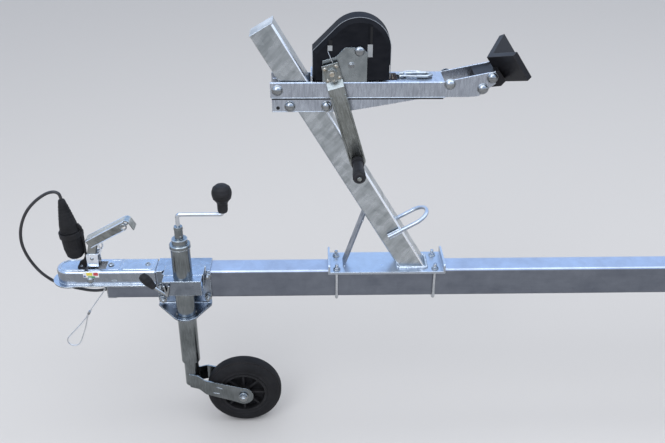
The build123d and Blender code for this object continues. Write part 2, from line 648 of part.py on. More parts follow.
def jockey_crank():
    """The crank's bent rod, and the spindle that it turns inside the tube."""
    top = BEAM_BOTTOM + CRANK_RISE
    low = BEAM_BOTTOM + TUBE_TOP
    path = FilletPolyline((JOCKEY_X, JOCKEY_Y, low - 8), (JOCKEY_X, JOCKEY_Y, top),
                          (JOCKEY_X - CRANK_THROW, JOCKEY_Y, top),
                          (JOCKEY_X - CRANK_THROW, JOCKEY_Y, top + 28), radius=CRANK_BEND)
    section = Plane(origin=path @ 0, z_dir=path % 0) * Circle(CRANK_ROD)
    crank = sweep(section, path=path)
    spindle = rod((JOCKEY_X, JOCKEY_Y, BEAM_BOTTOM + SPINDLE_LOW),
                  (JOCKEY_X, JOCKEY_Y, low - FACE_GAP), SPINDLE_RADIUS)
    return crank + spindle


def jockey_knob():
    """The crank's knob: a flattened ball on a flared neck."""
    base = BEAM_BOTTOM + CRANK_RISE + CRANK_BEND + FACE_GAP
    hole = CRANK_ROD + RUN_FIT
    stub = BEAM_BOTTOM + CRANK_RISE + 28
    outline = [(hole, base), (11, base), (12.5, base + 5), (13, base + 24), (17, base + 31),
               (22, base + 37), (KNOB_RADIUS, base + 46), (KNOB_RADIUS, base + 55),
               (21, base + 64), (14, base + 70), (0, base + 72), (0, stub + 1), (hole, stub + 1)]
    return upright(outline, JOCKEY_X - CRANK_THROW, JOCKEY_Y)


def jockey_spindle_nut():
    """The nut that runs on the spindle and carries the inner tube's top."""
    bore = SPINDLE_RADIUS + RUN_FIT
    seat = BEAM_BOTTOM + INNER_TOP
    body = INNER_RADIUS - INNER_WALL - RUN_FIT
    outline = [(bore, seat - NUT_LENGTH), (body, seat - NUT_LENGTH), (body, seat + FACE_GAP),
               (INNER_RADIUS, seat + FACE_GAP), (INNER_RADIUS, seat + 5), (bore, seat + 5)]
    return upright(outline, JOCKEY_X, JOCKEY_Y)


def jockey_fork():
    """The inner tube, the two cranked arms of its fork and the small wheel's axle."""
    low, high = BEAM_BOTTOM + INNER_BOTTOM, BEAM_BOTTOM + INNER_TOP
    inner = INNER_RADIUS - INNER_WALL
    tube = upright([(inner, low), (INNER_RADIUS, low), (INNER_RADIUS, high), (inner, high)],
                   JOCKEY_X, JOCKEY_Y)
    near = INNER_RADIUS - 1.5
    arm_in = FORK_HALF - FORK_SHEET
    end = JOCKEY_WHEEL_X - 40
    plan = [(JOCKEY_X + 5, near), (JOCKEY_X - 16, near), (JOCKEY_X - 36, arm_in), (end, arm_in),
            (end, FORK_HALF), (JOCKEY_X - 38, FORK_HALF), (JOCKEY_X - 18, near + FORK_SHEET),
            (JOCKEY_X + 5, near + FORK_SHEET)]
    hub_z = JOCKEY_TYRE_RADIUS
    upper = BEAM_BOTTOM - 198
    profile = [(JOCKEY_X + 5, upper), (JOCKEY_X - 20, upper - 6), (JOCKEY_WHEEL_X, hub_z + 26),
               (JOCKEY_WHEEL_X, hub_z - 26), (JOCKEY_X - 14, upper - 48),
               (JOCKEY_X + 5, upper - 42)]
    outline = side_plate(profile, -60, 60) + bore_y(JOCKEY_WHEEL_X, hub_z, 26, -60, 60)
    arm = plan_plate(plan, 0, 400) & outline
    pin = bore_y(JOCKEY_WHEEL_X, hub_z, JOCKEY_AXLE_RADIUS, -FORK_HALF, FORK_HALF)
    spacer = bore_y(JOCKEY_WHEEL_X, hub_z, 10, JOCKEY_TYRE_WIDTH / 2 + FACE_GAP, arm_in)
    head = bore_y(JOCKEY_WHEEL_X, hub_z, 11, FORK_HALF, FORK_HALF + 4)
    fork = both_sides(arm) + pin + both_sides(spacer) + both_sides(head)
    fork = Pos(0, JOCKEY_Y, 0) * fork
    hollow = rod((JOCKEY_X, JOCKEY_Y, low - 60), (JOCKEY_X, JOCKEY_Y, high), inner)
    return tube + (fork - hollow)


def jockey_rim():
    """The small wheel's plastic rim: a hub, a ring and eight ribs on a thin web."""
    bore = JOCKEY_AXLE_RADIUS + RUN_FIT
    half = JOCKEY_TYRE_WIDTH / 2
    x, z, y = JOCKEY_WHEEL_X, JOCKEY_TYRE_RADIUS, JOCKEY_Y
    edge = JOCKEY_RIM_WIDTH / 2
    ring = JOCKEY_RIM_RADIUS
    rim = turned([(bore, -half), (15, -half), (17, -half + 4), (17, half - 4), (15, half),
                  (bore, half)], x, z, y)
    rim += turned([(ring - 6, -edge), (ring, -edge), (ring, edge), (ring - 6, edge)], x, z, y)
    rim += turned([(15, -3), (ring - 3, -3), (ring - 3, 3), (15, 3)], x, z, y)
    for turn in range(JOCKEY_RIBS):
        rib = slab((14, ring - 3), (-edge + 5, edge - 5), (-2.5, 2.5))
        rim += Pos(x, y, z) * Rot(0, 360 * turn / JOCKEY_RIBS, 0) * rib
    return rim


def jockey_tyre():
    """The small wheel's solid tyre."""
    half = JOCKEY_TYRE_WIDTH / 2
    r = JOCKEY_TYRE_RADIUS
    side = [(JOCKEY_RIM_RADIUS, half - 3), (JOCKEY_RIM_RADIUS + 6, half), (r - 20, half),
            (r - 8, half - 5), (r - 2, half - 12), (r, half - 19)]
    outline = [(radius, -y) for radius, y in side] + side[::-1]
    return turned(outline, JOCKEY_WHEEL_X, JOCKEY_TYRE_RADIUS, JOCKEY_Y)


def on_post(solid):
    """A solid made upright at the origin, placed on the leaning post's axis at its foot."""
    x, z = place(POST_FOOT_BACK, BEAM_HEIGHT + BASE_SHEET)
    return Pos(x, 0, z) * Rot(0, POST_LEAN, 0) * solid


def winch_post():
    """The post: a square tube cut to the base plate below and closed by a plate above."""
    half = POST_SIZE / 2
    tube = rounded(slab((-half, half), (-half, half), (-80, POST_LENGTH - POST_CAP)), Axis.Z, 6)
    inner = half - POST_WALL
    tube -= rounded(slab((-inner, inner), (-inner, inner), (-90, POST_LENGTH)), Axis.Z, 3)
    tube += slab((-half, half), (-half, half), (POST_LENGTH - POST_CAP, POST_LENGTH))
    x, z = place(POST_FOOT_BACK, BEAM_HEIGHT + BASE_SHEET)
    return on_post(tube) - slab((x - 200, x + 200), (-60, 60), (z - 200, z))


def post_base():
    """The base plate with its turned-up ends and the holes for its U-bolts."""
    x0, x1 = NOSE_X - BASE_BACK[1], NOSE_X - BASE_BACK[0]
    low, high = BEAM_TOP, BEAM_TOP + BASE_SHEET
    base = slab((x0, x1), (-BASE_HALF, BASE_HALF), (low, high))
    for end in ((x0, x0 + SHEET), (x1 - SHEET, x1)):
        lip = slab(end, (-BASE_HALF, BASE_HALF), (low, low + BASE_LIP + BASE_SHEET))
        base += fillet(lip.edges().filter_by(Axis.X).sort_by(Axis.Z)[-2:], 6)
    for back in U_BOLT_BACKS:
        for y in (-U_BOLT_Y, U_BOLT_Y):
            base -= rod((NOSE_X - back, y, low - 5), (NOSE_X - back, y, high + 5),
                        U_BOLT_RADIUS + 0.5)
    return base


def u_bolt(x, seat, nut_side):
    """A U-bolt round the beam; it hooks under (+1) or over (-1) and its nuts sit at the seat."""
    bend = BEAM_BOTTOM - U_BOLT_RADIUS if nut_side > 0 else BEAM_TOP + U_BOLT_RADIUS
    tip = seat + nut_side * 15
    path = FilletPolyline((x, U_BOLT_Y, tip), (x, U_BOLT_Y, bend), (x, -U_BOLT_Y, bend),
                          (x, -U_BOLT_Y, tip), radius=8)
    bolt = sweep(Plane(origin=path @ 0, z_dir=path % 0) * Circle(U_BOLT_RADIUS), path=path)
    nut = extrude(RegularPolygon(7.5, 6), amount=6.5)
    lift = 0 if nut_side > 0 else -6.5
    for y in (-U_BOLT_Y, U_BOLT_Y):
        bolt += Pos(x, y, seat + lift) * nut
    return bolt


def u_bolts():
    """All U-bolts that hold the post's base, the axle and the cross member on the beam."""
    bolts = [u_bolt(NOSE_X - back, BEAM_TOP + BASE_SHEET, 1) for back in U_BOLT_BACKS]
    axle_seat = BEAM_BOTTOM - AXLE_PLATE
    bolts += [u_bolt(AXLE_TUBE_X + shift, axle_seat, -1) for shift in (-AXLE_BOLT, AXLE_BOLT)]
    cross_seat = BEAM_BOTTOM - CROSS_SIZE - SHEET
    cross_x = NOSE_X - CROSS_BACK
    bolts += [u_bolt(cross_x + shift, cross_seat, -1) for shift in (-CROSS_BOLT, CROSS_BOLT)]
    return Compound(children=bolts)


def post_face(rise):
    """How far behind the nose the post's front face is at a height above the base plate."""
    lean = radians(POST_LEAN)
    return POST_FOOT_BACK - POST_SIZE / 2 / cos(lean) - rise * tan(lean)


def post_brace():
    """The flat brace between the base plate and the post's front face."""
    slope = BRACE_SLOPE
    corners = []
    for foot in (BRACE_FOOT_BACK - 3, BRACE_FOOT_BACK + 2.3):
        rise = (post_face(0) - foot) / (slope + tan(radians(POST_LEAN)))
        corners.append([(foot, 0), (foot + slope * rise, rise)])
    outline = [corners[0][0], corners[1][0], corners[1][1], corners[0][1]]
    lift = BEAM_HEIGHT + BASE_SHEET
    points = [place(back, rise + lift) for back, rise in outline]
    return side_plate(points, -BRACE_WIDTH / 2, BRACE_WIDTH / 2)


def tie_down_loop():
    """The round-bar loop welded to the post's sides."""
    y = POST_SIZE / 2 + LOOP_RADIUS
    reach = -POST_SIZE / 2 - LOOP_REACH + LOOP_RADIUS
    path = FilletPolyline((8, y, LOOP_ALONG), (reach, y, LOOP_ALONG), (reach, -y, LOOP_ALONG),
                          (8, -y, LOOP_ALONG), radius=y - 1)
    bar = sweep(Plane(origin=path @ 0, z_dir=path % 0) * Circle(LOOP_RADIUS), path=path)
    return on_post(bar)


def winch_arm():
    """The arm: an inverted channel whose sides run on, rising, to the bow stop."""
    inner = POST_SIZE / 2 + ARM_SHEET
    outer = inner + ARM_SHEET
    front, rear = ARM_BACK
    side = [(front, ARM_TOP), (rear, ARM_TOP), (ARM_TAIL_BACK, ARM_TOP + ARM_TAIL_RISE),
            (ARM_TAIL_BACK + 2, ARM_TOP - 5), (ARM_TAIL_BACK - 35, ARM_TOP - ARM_SIDE + 2),
            (ARM_TAIL_BACK - 58, ARM_TOP - ARM_SIDE), (front, ARM_TOP - ARM_SIDE)]
    plate = side_plate([place(*p) for p in side], inner, outer)
    z = BEAM_BOTTOM + ARM_TOP
    web = slab((NOSE_X - rear, NOSE_X - ARM_WEB_BACK), (-outer, outer), (z - ARM_SHEET, z))
    arm = both_sides(plate) + web
    top_edges = [e for e in arm.edges().filter_by(Axis.X)
                 if abs(e.center().Z - z) < 0.01 and abs(abs(e.center().Y) - outer) < 0.01]
    arm = fillet(top_edges, 3)
    tab_x = NOSE_X - ARM_WEB_BACK + 4
    return arm + slab((tab_x - 4, tab_x), (-inner, inner), (z - ARM_SHEET, z + 14))


def winch_arm_bracket():
    """The two lower plates that clamp the arm to the post's sides."""
    inner = POST_SIZE / 2
    front, rear = ARM_BACK
    low = ARM_TOP - ARM_LOW
    side = [(front + 3, low), (front + 170, low), (rear - 146, low + 14), (rear - 41, low + 33),
            (rear - 41, ARM_TOP - 14), (front + 3, ARM_TOP - 14)]
    return both_sides(side_plate([place(*p) for p in side], inner, inner + ARM_SHEET))


def bow_stop():
    """The rubber V block that the boat's bow rests in, with its neck between the arm's sides."""
    half_angle = atan2(STOP_HALF, STOP_DEPTH)
    back = STOP_WALL / sin(half_angle)
    tip_x = STOP_DEPTH + STOP_WALL * sin(half_angle)
    tip_y = STOP_HALF - STOP_WALL * cos(half_angle)
    outline = [(0, 0), (-STOP_DEPTH, STOP_HALF), (-tip_x, tip_y), (-back, 0), (-tip_x, -tip_y),
               (-STOP_DEPTH, -STOP_HALF)]
    block = plan_plate(outline, 0, STOP_HEIGHT)
    lean = radians(STOP_LEAN)
    x, z = place(STOP_SPINE_BACK + STOP_HEIGHT * sin(lean), STOP_SPINE_RISE - STOP_HEIGHT * cos(lean))
    block = Pos(x, 0, z) * Rot(0, STOP_LEAN, 0) * block
    # columns: behind the arm's tail, above the arm's top
    neck = [(-44, -18), (-44, 10), (-8, 18), (8, 24), (26, 0), (16, -12)]
    neck = [place(ARM_TAIL_BACK + back, ARM_TOP + rise) for back, rise in neck]
    inner = POST_SIZE / 2 + ARM_SHEET
    return block + side_plate(neck, -inner, inner) - cut_before_stop(x, z)


def cut_before_stop(x, z):
    """The space inside the V, which the neck leaves free."""
    half_angle = atan2(STOP_HALF, STOP_DEPTH)
    back = STOP_WALL / sin(half_angle)
    outline = [(-back, 0), (-back - 3 * STOP_DEPTH, 3 * STOP_HALF),
               (-back - 3 * STOP_DEPTH, -3 * STOP_HALF)]
    return Pos(x, 0, z) * Rot(0, STOP_LEAN, 0) * plan_plate(outline, -100, 200)


def winch_frame():
    """The winch's frame: a base, two side plates and the fixed shaft that the drum turns on."""
    inner = COVER_HALF + FACE_GAP
    outer = inner + FRAME_SHEET
    low = ARM_TOP
    side = [(702, low), (803, low), (803, low + 68), (791, low + 80), (752, low + 80),
            (731, low + 58), (702, low + 50)]
    plate = side_plate([place(*p) for p in side], inner, outer)
    plate -= bore_y(PINION_X, PINION_Z, WINCH_SHAFT + RUN_FIT, 0, 100)
    z = BEAM_BOTTOM + ARM_TOP
    base = slab((NOSE_X - 803, NOSE_X - 702), (-outer, outer), (z, z + FRAME_SHEET))
    shaft = bore_y(DRUM_X, DRUM_Z, WINCH_SHAFT, -outer, outer)
    head = bore_y(DRUM_X, DRUM_Z, 11, outer, outer + 6)
    return both_sides(plate) + base + shaft + both_sides(head)


def cover_outline(inset):
    """The cover's side face, drawn in by an inset."""
    radius = COVER_RADIUS - inset
    z = BEAM_BOTTOM + ARM_TOP
    front = NOSE_X - COVER_FRONT_BACK - inset
    reach = radius * sin(pi / 4)
    slope_x, slope_z = DRUM_X + reach, DRUM_Z + reach
    knee_z = slope_z - (front - slope_x)
    points = [(front, z + COVER_FOOT), (front, knee_z), (slope_x, slope_z), (DRUM_X, DRUM_Z),
              (DRUM_X - radius, DRUM_Z), (DRUM_X - radius, z + COVER_FOOT)]
    return points, radius


def cover_block(inset):
    """The cover's whole form with its bevelled side edges, drawn in by an inset."""
    points, radius = cover_outline(inset)
    half = COVER_HALF - inset
    block = side_plate(points, -half, half) + bore_y(DRUM_X, DRUM_Z, radius, -half, half)
    rim = [e for e in block.edges() if abs(abs(e.center().Y) - half) < 0.01
           and e.center().Z > BEAM_BOTTOM + ARM_TOP + COVER_FOOT + 1]
    return chamfer(rim, COVER_RIM - inset * (2 - sqrt(2)))


def winch_cover():
    """The winch's plastic cover: a bevelled hood, open below and at the strap's way out."""
    hood = cover_block(0) - cover_block(COVER_WALL)
    inner = COVER_HALF - COVER_WALL
    z = BEAM_BOTTOM + ARM_TOP
    hood -= slab((DRUM_X - 200, DRUM_X + 200), (-50, 50), (z - 20, z + COVER_FOOT))
    hood -= slab((DRUM_X - 60, DRUM_X + 60), (-inner, inner), (z, z + 12))
    rear = DRUM_X - COVER_RADIUS
    hood -= slab((rear - 5, rear + 12), (-inner + 4, inner - 4), (z, z + 36))
    for back, low, width in COVER_GROOVES:
        x = NOSE_X - back
        hood -= slab((x - width / 2, x + width / 2), (COVER_HALF - 1.5, COVER_HALF + 5),
                     (BEAM_BOTTOM + low, BEAM_BOTTOM + low + 120))
    hood -= bore_y(DRUM_X, DRUM_Z, WINCH_SHAFT + 0.5, -50, 50)
    return hood - bore_y(PINION_X, PINION_Z, WINCH_SHAFT + 3, -50, 50)


def winch_drum():
    """The drum with the strap wound on it."""
    bore = WINCH_SHAFT + RUN_FIT
    edge = DRUM_HALF
    coil = STRAP_WIDTH / 2
    outline = [(bore, -edge), (DRUM_RADIUS, -edge), (DRUM_RADIUS, -edge + 2), (STRAP_COIL, -coil),
               (STRAP_COIL, coil), (DRUM_RADIUS, edge - 2), (DRUM_RADIUS, edge), (bore, edge)]
    return turned(outline, DRUM_X, DRUM_Z)


def winch_strap():
    """The strap's free end, lying on the arm and looped through the hook's eye."""
    z = BEAM_BOTTOM + ARM_TOP
    half = STRAP_WIDTH / 2
    front, rear = [NOSE_X - back for back in STRAP_END_BACK]
    tail = slab((rear, front), (-half, half), (z, z + 1.6))
    return tail + slab((rear, rear + 14), (-9, 9), (z, z + 3.2)) - snap_hook()


def snap_hook():
    """The strap's snap hook, lying flat on the arm."""
    z = BEAM_BOTTOM + ARM_TOP + HOOK_ROD
    x = NOSE_X - STRAP_END_BACK[1] - 2 * HOOK_ROD
    path = FilletPolyline((x, -9, z), (x - 58, -13, z), (x - 74, 0, z), (x - 58, 13, z),
                          (x - 36, 12, z), radius=7)
    hook = sweep(Plane(origin=path @ 0, z_dir=path % 0) * Circle(HOOK_ROD), path=path)
    hook += rod((x + 2, 7, z), (x - 38, 12, z), HOOK_ROD * 0.7)
    eye = Pos(x - 1, 0, z) * Torus(9, HOOK_ROD * 0.8)
    return hook + eye


def on_crank(solid):
    """A solid made at the origin with the crank's arm hanging down, placed on the winch."""
    return Pos(PINION_X, 0, PINION_Z) * Rot(0, CRANK_LEAN, 0) * solid


def winch_crank():
    """The crank: its shaft, its joggled arm and the pin of its grip."""
    near = COVER_HALF + FRAME_SHEET + CRANK_STAND
    far = near + CRANK_JOG
    t = CRANK_SHEET
    end = -CRANK_LENGTH - 16
    section = [(near, 20), (near, -23), (far, -35), (far, end), (far + t, end), (far + t, -33),
               (near + t, -21), (near + t, 20)]
    half = CRANK_WIDTH / 2
    outline = Polyline(*[(-half, y, z) for y, z in section], close=True)
    arm = extrude(make_face(outline), amount=CRANK_WIDTH, dir=(1, 0, 0))
    tip = arm.edges().filter_by(Axis.Y).sort_by(Axis.Z)
    arm = fillet(tip[:2], 14)
    shaft = bore_y(0, 0, WINCH_SHAFT, -COVER_HALF - 8, near + 1)
    shaft += bore_y(0, 0, PINION_RADIUS, -DRUM_HALF, 4 - DRUM_HALF)
    nut = Rot(-90, 0, 0) * extrude(RegularPolygon(12, 6), amount=9)
    arm += shaft + Pos(0, near + t, 0) * nut
    arm += bore_y(0, -CRANK_LENGTH, 5, far + 1, far + t + GRIP_LENGTH + 4)
    return on_crank(arm)


def winch_grip():
    """The crank's round grip."""
    start = COVER_HALF + FRAME_SHEET + CRANK_STAND + CRANK_JOG + CRANK_SHEET + 2
    hole = 5 + RUN_FIT
    r = GRIP_RADIUS
    end = start + GRIP_LENGTH
    grip = turned([(hole, start), (r - 4, start), (r - 2, start + 4), (r - 2.5, start + 30),
                   (r, end - 20), (r - 1, end - 6), (r - 5, end), (hole, end)], 0, -CRANK_LENGTH)
    return on_crank(grip)


def axle():
    """The axle's square tube with the plate that bolts to the beam."""
    half = AXLE_SIZE / 2
    inner = half - AXLE_WALL
    tube = slab((-half, half), (-AXLE_HALF, AXLE_HALF), (-half, half))
    tube = rounded(tube, Axis.Y, 6)
    tube -= slab((-inner, inner), (-AXLE_HALF - 1, AXLE_HALF + 1), (-inner, inner))
    plate = slab((-AXLE_BOLT - 16, AXLE_BOLT + 16), (-60, 60), (half, half + AXLE_PLATE))
    for shift in (-AXLE_BOLT, AXLE_BOLT):
        for y in (-U_BOLT_Y, U_BOLT_Y):
            plate -= rod((shift, y, half - 5), (shift, y, half + 20), U_BOLT_RADIUS + 0.5)
    return Pos(AXLE_TUBE_X, 0, AXLE_Z) * (tube + plate)


def swing_arms():
    """The two trailing arms with their stub axles and the square shafts in the axle's tube."""
    y0 = AXLE_HALF + 5
    y1 = y0 + SWING_SHEET
    lean = atan2(SWING_DROP, SWING_RUN)
    width = 26
    nx, nz = sin(lean) * width, cos(lean) * width
    bar = side_plate([(AXLE_TUBE_X - nx, AXLE_Z + nz), (AXLE_TUBE_X + nx, AXLE_Z - nz),
                      (AXLE_X + nx, TYRE_RADIUS - nz), (AXLE_X - nx, TYRE_RADIUS + nz)], y0, y1)
    bar += bore_y(AXLE_TUBE_X, AXLE_Z, width, y0, y1) + bore_y(AXLE_X, TYRE_RADIUS, width, y0, y1)
    core = AXLE_SIZE / 2 - AXLE_WALL - 6
    bar += slab((AXLE_TUBE_X - core, AXLE_TUBE_X + core), (AXLE_HALF - 60, y0),
                (AXLE_Z - core, AXLE_Z + core))
    bar += bore_y(AXLE_X, TYRE_RADIUS, STUB_RADIUS, y1, HUB_FACE - 2)
    return Compound(children=[bar, mirror(bar, about=Plane.XZ)])


def rubber_cores():
    """The rubber cords that hold each shaft in the axle's tube."""
    shaft = AXLE_SIZE / 2 - AXLE_WALL - 6
    tube = AXLE_SIZE / 2 - AXLE_WALL
    block = slab((-tube, tube), (AXLE_HALF - 60, AXLE_HALF - 2), (-tube, tube))
    block -= slab((-shaft, shaft), (AXLE_HALF - 70, AXLE_HALF), (-shaft, shaft))
    block = Pos(AXLE_TUBE_X, 0, AXLE_Z) * block
    return Compound(children=[block, mirror(block, about=Plane.XZ)])


def hub():
    """The left hub: a bearing barrel, a bolt flange with four studs and a grease cap."""
    bore = STUB_RADIUS + RUN_FIT
    y0 = AXLE_HALF + 5 + SWING_SHEET + FACE_GAP * 4
    face = HUB_FACE
    body = turned([(bore, y0), (34, y0), (36, y0 + 10), (36, face - 22), (HUB_RADIUS, face - 9),
                   (HUB_RADIUS, face), (27, face), (27, face + 20), (22, face + 28),
                   (0, face + 28), (0, face - 1), (bore, face - 1)], AXLE_X, TYRE_RADIUS)
    for turn in range(WHEEL_STUDS):
        angle = radians(45 + 360 * turn / WHEEL_STUDS)
        x = AXLE_X + WHEEL_PCD / 2 * cos(angle)
        z = TYRE_RADIUS + WHEEL_PCD / 2 * sin(angle)
        body += bore_y(x, z, 6, face - 4, face + RIM_SHEET + 16)
        body += Pos(x, face + RIM_SHEET + 0.5, z) * Rot(-90, 0, 0) * extrude(
            RegularPolygon(9.5, 6), amount=12)
    return body


def wheel_rim():
    """The left steel wheel: a drop-centre barrel and a dished disc with vent and bolt holes."""
    edge = RIM_WIDTH / 2
    inside = edge - 7
    t = RIM_SHEET
    r = RIM_RADIUS
    barrel = [(r + 13, -edge), (r + 13, -edge + t), (r, -inside), (r, -34), (r - 17, -26),
              (r - 17, 8), (r, 20), (r, inside), (r + 13, edge - t), (r + 13, edge),
              (r + 9, edge), (r - t, inside + 3), (r - t, 22), (r - 17 - t, 10),
              (r - 17 - t, -28), (r - t, -36), (r - t, -inside - 3), (r + 9, -edge)]
    face = HUB_FACE - WHEEL_Y
    disc = [(28.5, face), (68, face), (98, face + 16), (124, face + 13), (r - 17 - t + 1, 2),
            (r - 17 - t + 1, 9), (126, face + 18), (97, face + 21), (66, face + t + 0.5),
            (28.5, face + t + 0.5)]
    rim = turned(barrel, AXLE_X, TYRE_RADIUS, WHEEL_Y) + turned(disc, AXLE_X, TYRE_RADIUS, WHEEL_Y)
    for count, radius, hole, start in ((WHEEL_STUDS, WHEEL_PCD / 2, 7, 45), (WHEEL_VENTS, 111, 11, 9)):
        for turn in range(count):
            angle = radians(start + 360 * turn / count)
            rim -= bore_y(AXLE_X + radius * cos(angle), TYRE_RADIUS + radius * sin(angle), hole,
                          WHEEL_Y + 15, WHEEL_Y + 90)
    return rim


def tyre():
    """The left tyre: a hollow carcass between the rim's flanges."""
    half = TYRE_WIDTH / 2
    bead = RIM_WIDTH / 2 - 7
    r, rim = TYRE_RADIUS, RIM_RADIUS
    t = TYRE_WALL
    outside = [(rim, bead), (rim + 14, bead + 2), (rim + 18, bead + 9), (rim + 34, half - 4),
               (rim + 62, half), (r - 26, half - 2), (r - 8, half - 13), (r, half - 27)]
    inside = [(rim, bead - t), (rim + 16, bead - t), (rim + 36, half - 4 - t), (rim + 62, half - t),
              (r - 28, half - 2 - t), (r - 8 - t, half - 24)]
    outline = outside + [(a, -b) for a, b in outside[::-1]] + [(a, -b) for a, b in inside]
    return turned(outline + inside[::-1], AXLE_X, TYRE_RADIUS, WHEEL_Y)


def mudguard():
    """The left mudguard: a rolled sheet with a deep inner skirt and a shallow outer lip."""
    r, t = GUARD_RADIUS, GUARD_SHEET
    inner, outer = GUARD_OUTER_Y - GUARD_WIDTH, GUARD_OUTER_Y
    section = [(r - GUARD_SKIRT, inner), (r + t, inner), (r + t, outer), (r - GUARD_LIP, outer),
               (r - GUARD_LIP, outer - t), (r, outer - t), (r, inner + t), (r - GUARD_SKIRT, inner + t)]
    outline = Polyline(*[(radius, y, 0) for radius, y in section], close=True)
    guard = revolve(make_face(outline), axis=Axis.Y, revolution_arc=GUARD_ARC)
    return Pos(AXLE_X, 0, TYRE_RADIUS) * Rot(0, -90 - GUARD_ARC / 2, 0) * guard


def mudguard_stays():
    """The brackets that carry the mudguards on the axle's tube."""
    skin = GUARD_OUTER_Y - GUARD_WIDTH
    z = AXLE_Z + AXLE_SIZE / 2
    bar = slab((AXLE_TUBE_X - 30, AXLE_TUBE_X + 30), (AXLE_HALF - 60, skin), (z, z + SHEET))
    tops = []
    for angle in (52, 114):
        a = radians(angle)
        reach = GUARD_RADIUS - 8
        tops.append((AXLE_X + reach * cos(a), TYRE_RADIUS + reach * sin(a)))
    plate = side_plate([(AXLE_TUBE_X - 30, z), (AXLE_TUBE_X + 30, z), tops[0], tops[1]],
                       skin - SHEET, skin)
    window = [(AXLE_TUBE_X - 22, z + 90), (AXLE_TUBE_X + 12, z + 90),
              (tops[0][0] - 60, tops[0][1] - 30), (tops[1][0] + 50, tops[1][1] - 50)]
    plate -= side_plate(window, skin - 2 * SHEET, skin + SHEET)
    stay = bar + plate
    return Compound(children=[stay, mirror(stay, about=Plane.XZ)])


def roller_bracket(x):
    """A keel roller's bracket: a base, two ears and the roller's pin."""
    inner = ROLLER_HALF + MOVE_GAP - 1
    outer = inner + SHEET
    half = ROLLER_BASE / 2
    z = BEAM_TOP + ROLLER_RISE
    base = slab((x - half, x + half), (-outer, outer), (BEAM_TOP, BEAM_TOP + SHEET))
    ear = side_plate([(x - half, BEAM_TOP), (x + half, BEAM_TOP), (x + 16, z + 10), (x - 16, z + 10)],
                     inner, outer)
    ear += bore_y(x, z, 20, inner, outer)
    pin = bore_y(x, z, ROLLER_PIN, -outer - 5, outer + 5)
    return base + both_sides(ear) + pin


def roller_brackets():
    """The brackets of all keel rollers."""
    return Compound(children=[roller_bracket(NOSE_X - back) for back in ROLLER_BACKS])


def keel_roller(back):
    """A rubber keel roller, waisted so that the keel stays in its middle."""
    bore = ROLLER_PIN + RUN_FIT
    half = ROLLER_HALF
    outline = [(bore, -half), (ROLLER_END - 3, -half), (ROLLER_END, -half + 4),
               (ROLLER_END, -half + 14), (ROLLER_WAIST, -14), (ROLLER_WAIST, 14),
               (ROLLER_END, half - 14), (ROLLER_END, half - 4), (ROLLER_END - 3, half), (bore, half)]
    return turned(outline, NOSE_X - back, BEAM_TOP + ROLLER_RISE)


def cross_member():
    """The cross member under the beam, with its clamp plate."""
    x = NOSE_X - CROSS_BACK
    half = CROSS_SIZE / 2
    inner = half - CROSS_WALL
    z = BEAM_BOTTOM - half
    tube = slab((x - half, x + half), (-CROSS_HALF, CROSS_HALF), (z - half, z + half))
    tube = rounded(tube, Axis.Y, 5)
    tube -= slab((x - inner, x + inner), (-CROSS_HALF - 1, CROSS_HALF + 1), (z - inner, z + inner))
    reach = CROSS_BOLT + 12
    plate = slab((x - reach, x + reach), (-50, 50), (z - half - SHEET, z - half))
    for shift in (-CROSS_BOLT, CROSS_BOLT):
        for y in (-U_BOLT_Y, U_BOLT_Y):
            plate -= rod((x + shift, y, z - half - 20), (x + shift, y, z), U_BOLT_RADIUS + 0.5)
    return tube + plate


def side_posts():
    """The two posts behind the cross member that carry the side pads."""
    half = SIDE_SIZE / 2
    x = SIDE_X
    post = slab((x - half, x + half), (SIDE_Y - half, SIDE_Y + half), (SIDE_LOW, SIDE_TOP))
    post = rounded(post, Axis.Z, 5)
    inner = half - CROSS_WALL
    post -= slab((x - inner, x + inner), (SIDE_Y - inner, SIDE_Y + inner), (SIDE_LOW - 1, SIDE_TOP + 1))
    pin = bore_y(x, SIDE_PIN_Z, ROLLER_PIN, SIDE_Y - half - SIDE_STAND - SHEET - 5,
                 SIDE_Y + half + SIDE_STAND + SHEET + 5)
    post += pin
    return Compound(children=[post, mirror(post, about=Plane.XZ)])


def side_rocker():
    """The left rocker: two cheeks on the pin and the tilted channel under the pad."""
    half = SIDE_SIZE / 2 + SIDE_STAND
    x = SIDE_X
    rocker = None
    top = SIDE_PIN_Z + SIDE_PAD_RISE
    for y0 in (SIDE_Y - half - SHEET, SIDE_Y + half):
        cheek = side_plate([(x - 14, SIDE_PIN_Z), (x + 14, SIDE_PIN_Z), (x + 40, top + 20),
                            (x - 40, top + 20)], y0, y0 + SHEET)
        cheek += bore_y(x, SIDE_PIN_Z, 17, y0, y0 + SHEET)
        rocker = cheek if rocker is None else rocker + cheek
    plane = Pos(x, SIDE_Y, top) * Rot(PAD_LEAN, 0, 0)
    rocker -= plane * slab((-200, 200), (-100, 100), (0, 200))
    base = slab((-PAD_LENGTH / 2 + 30, PAD_LENGTH / 2 - 30), (-PAD_WIDTH / 2, PAD_WIDTH / 2),
                (0, SHEET))
    rocker += plane * base
    return rocker - bore_y(x, SIDE_PIN_Z, ROLLER_PIN + RUN_FIT, SIDE_Y - 100, SIDE_Y + 100)


def side_pad():
    """The left pad that the hull rests on."""
    pad = slab((-PAD_LENGTH / 2, PAD_LENGTH / 2), (-PAD_WIDTH / 2, PAD_WIDTH / 2),
               (SHEET, SHEET + PAD_THICK))
    pad = fillet(pad.edges().sort_by(Axis.Z)[-4:], 8)
    return Pos(SIDE_X, SIDE_Y, SIDE_PIN_Z + SIDE_PAD_RISE) * Rot(PAD_LEAN, 0, 0) * pad


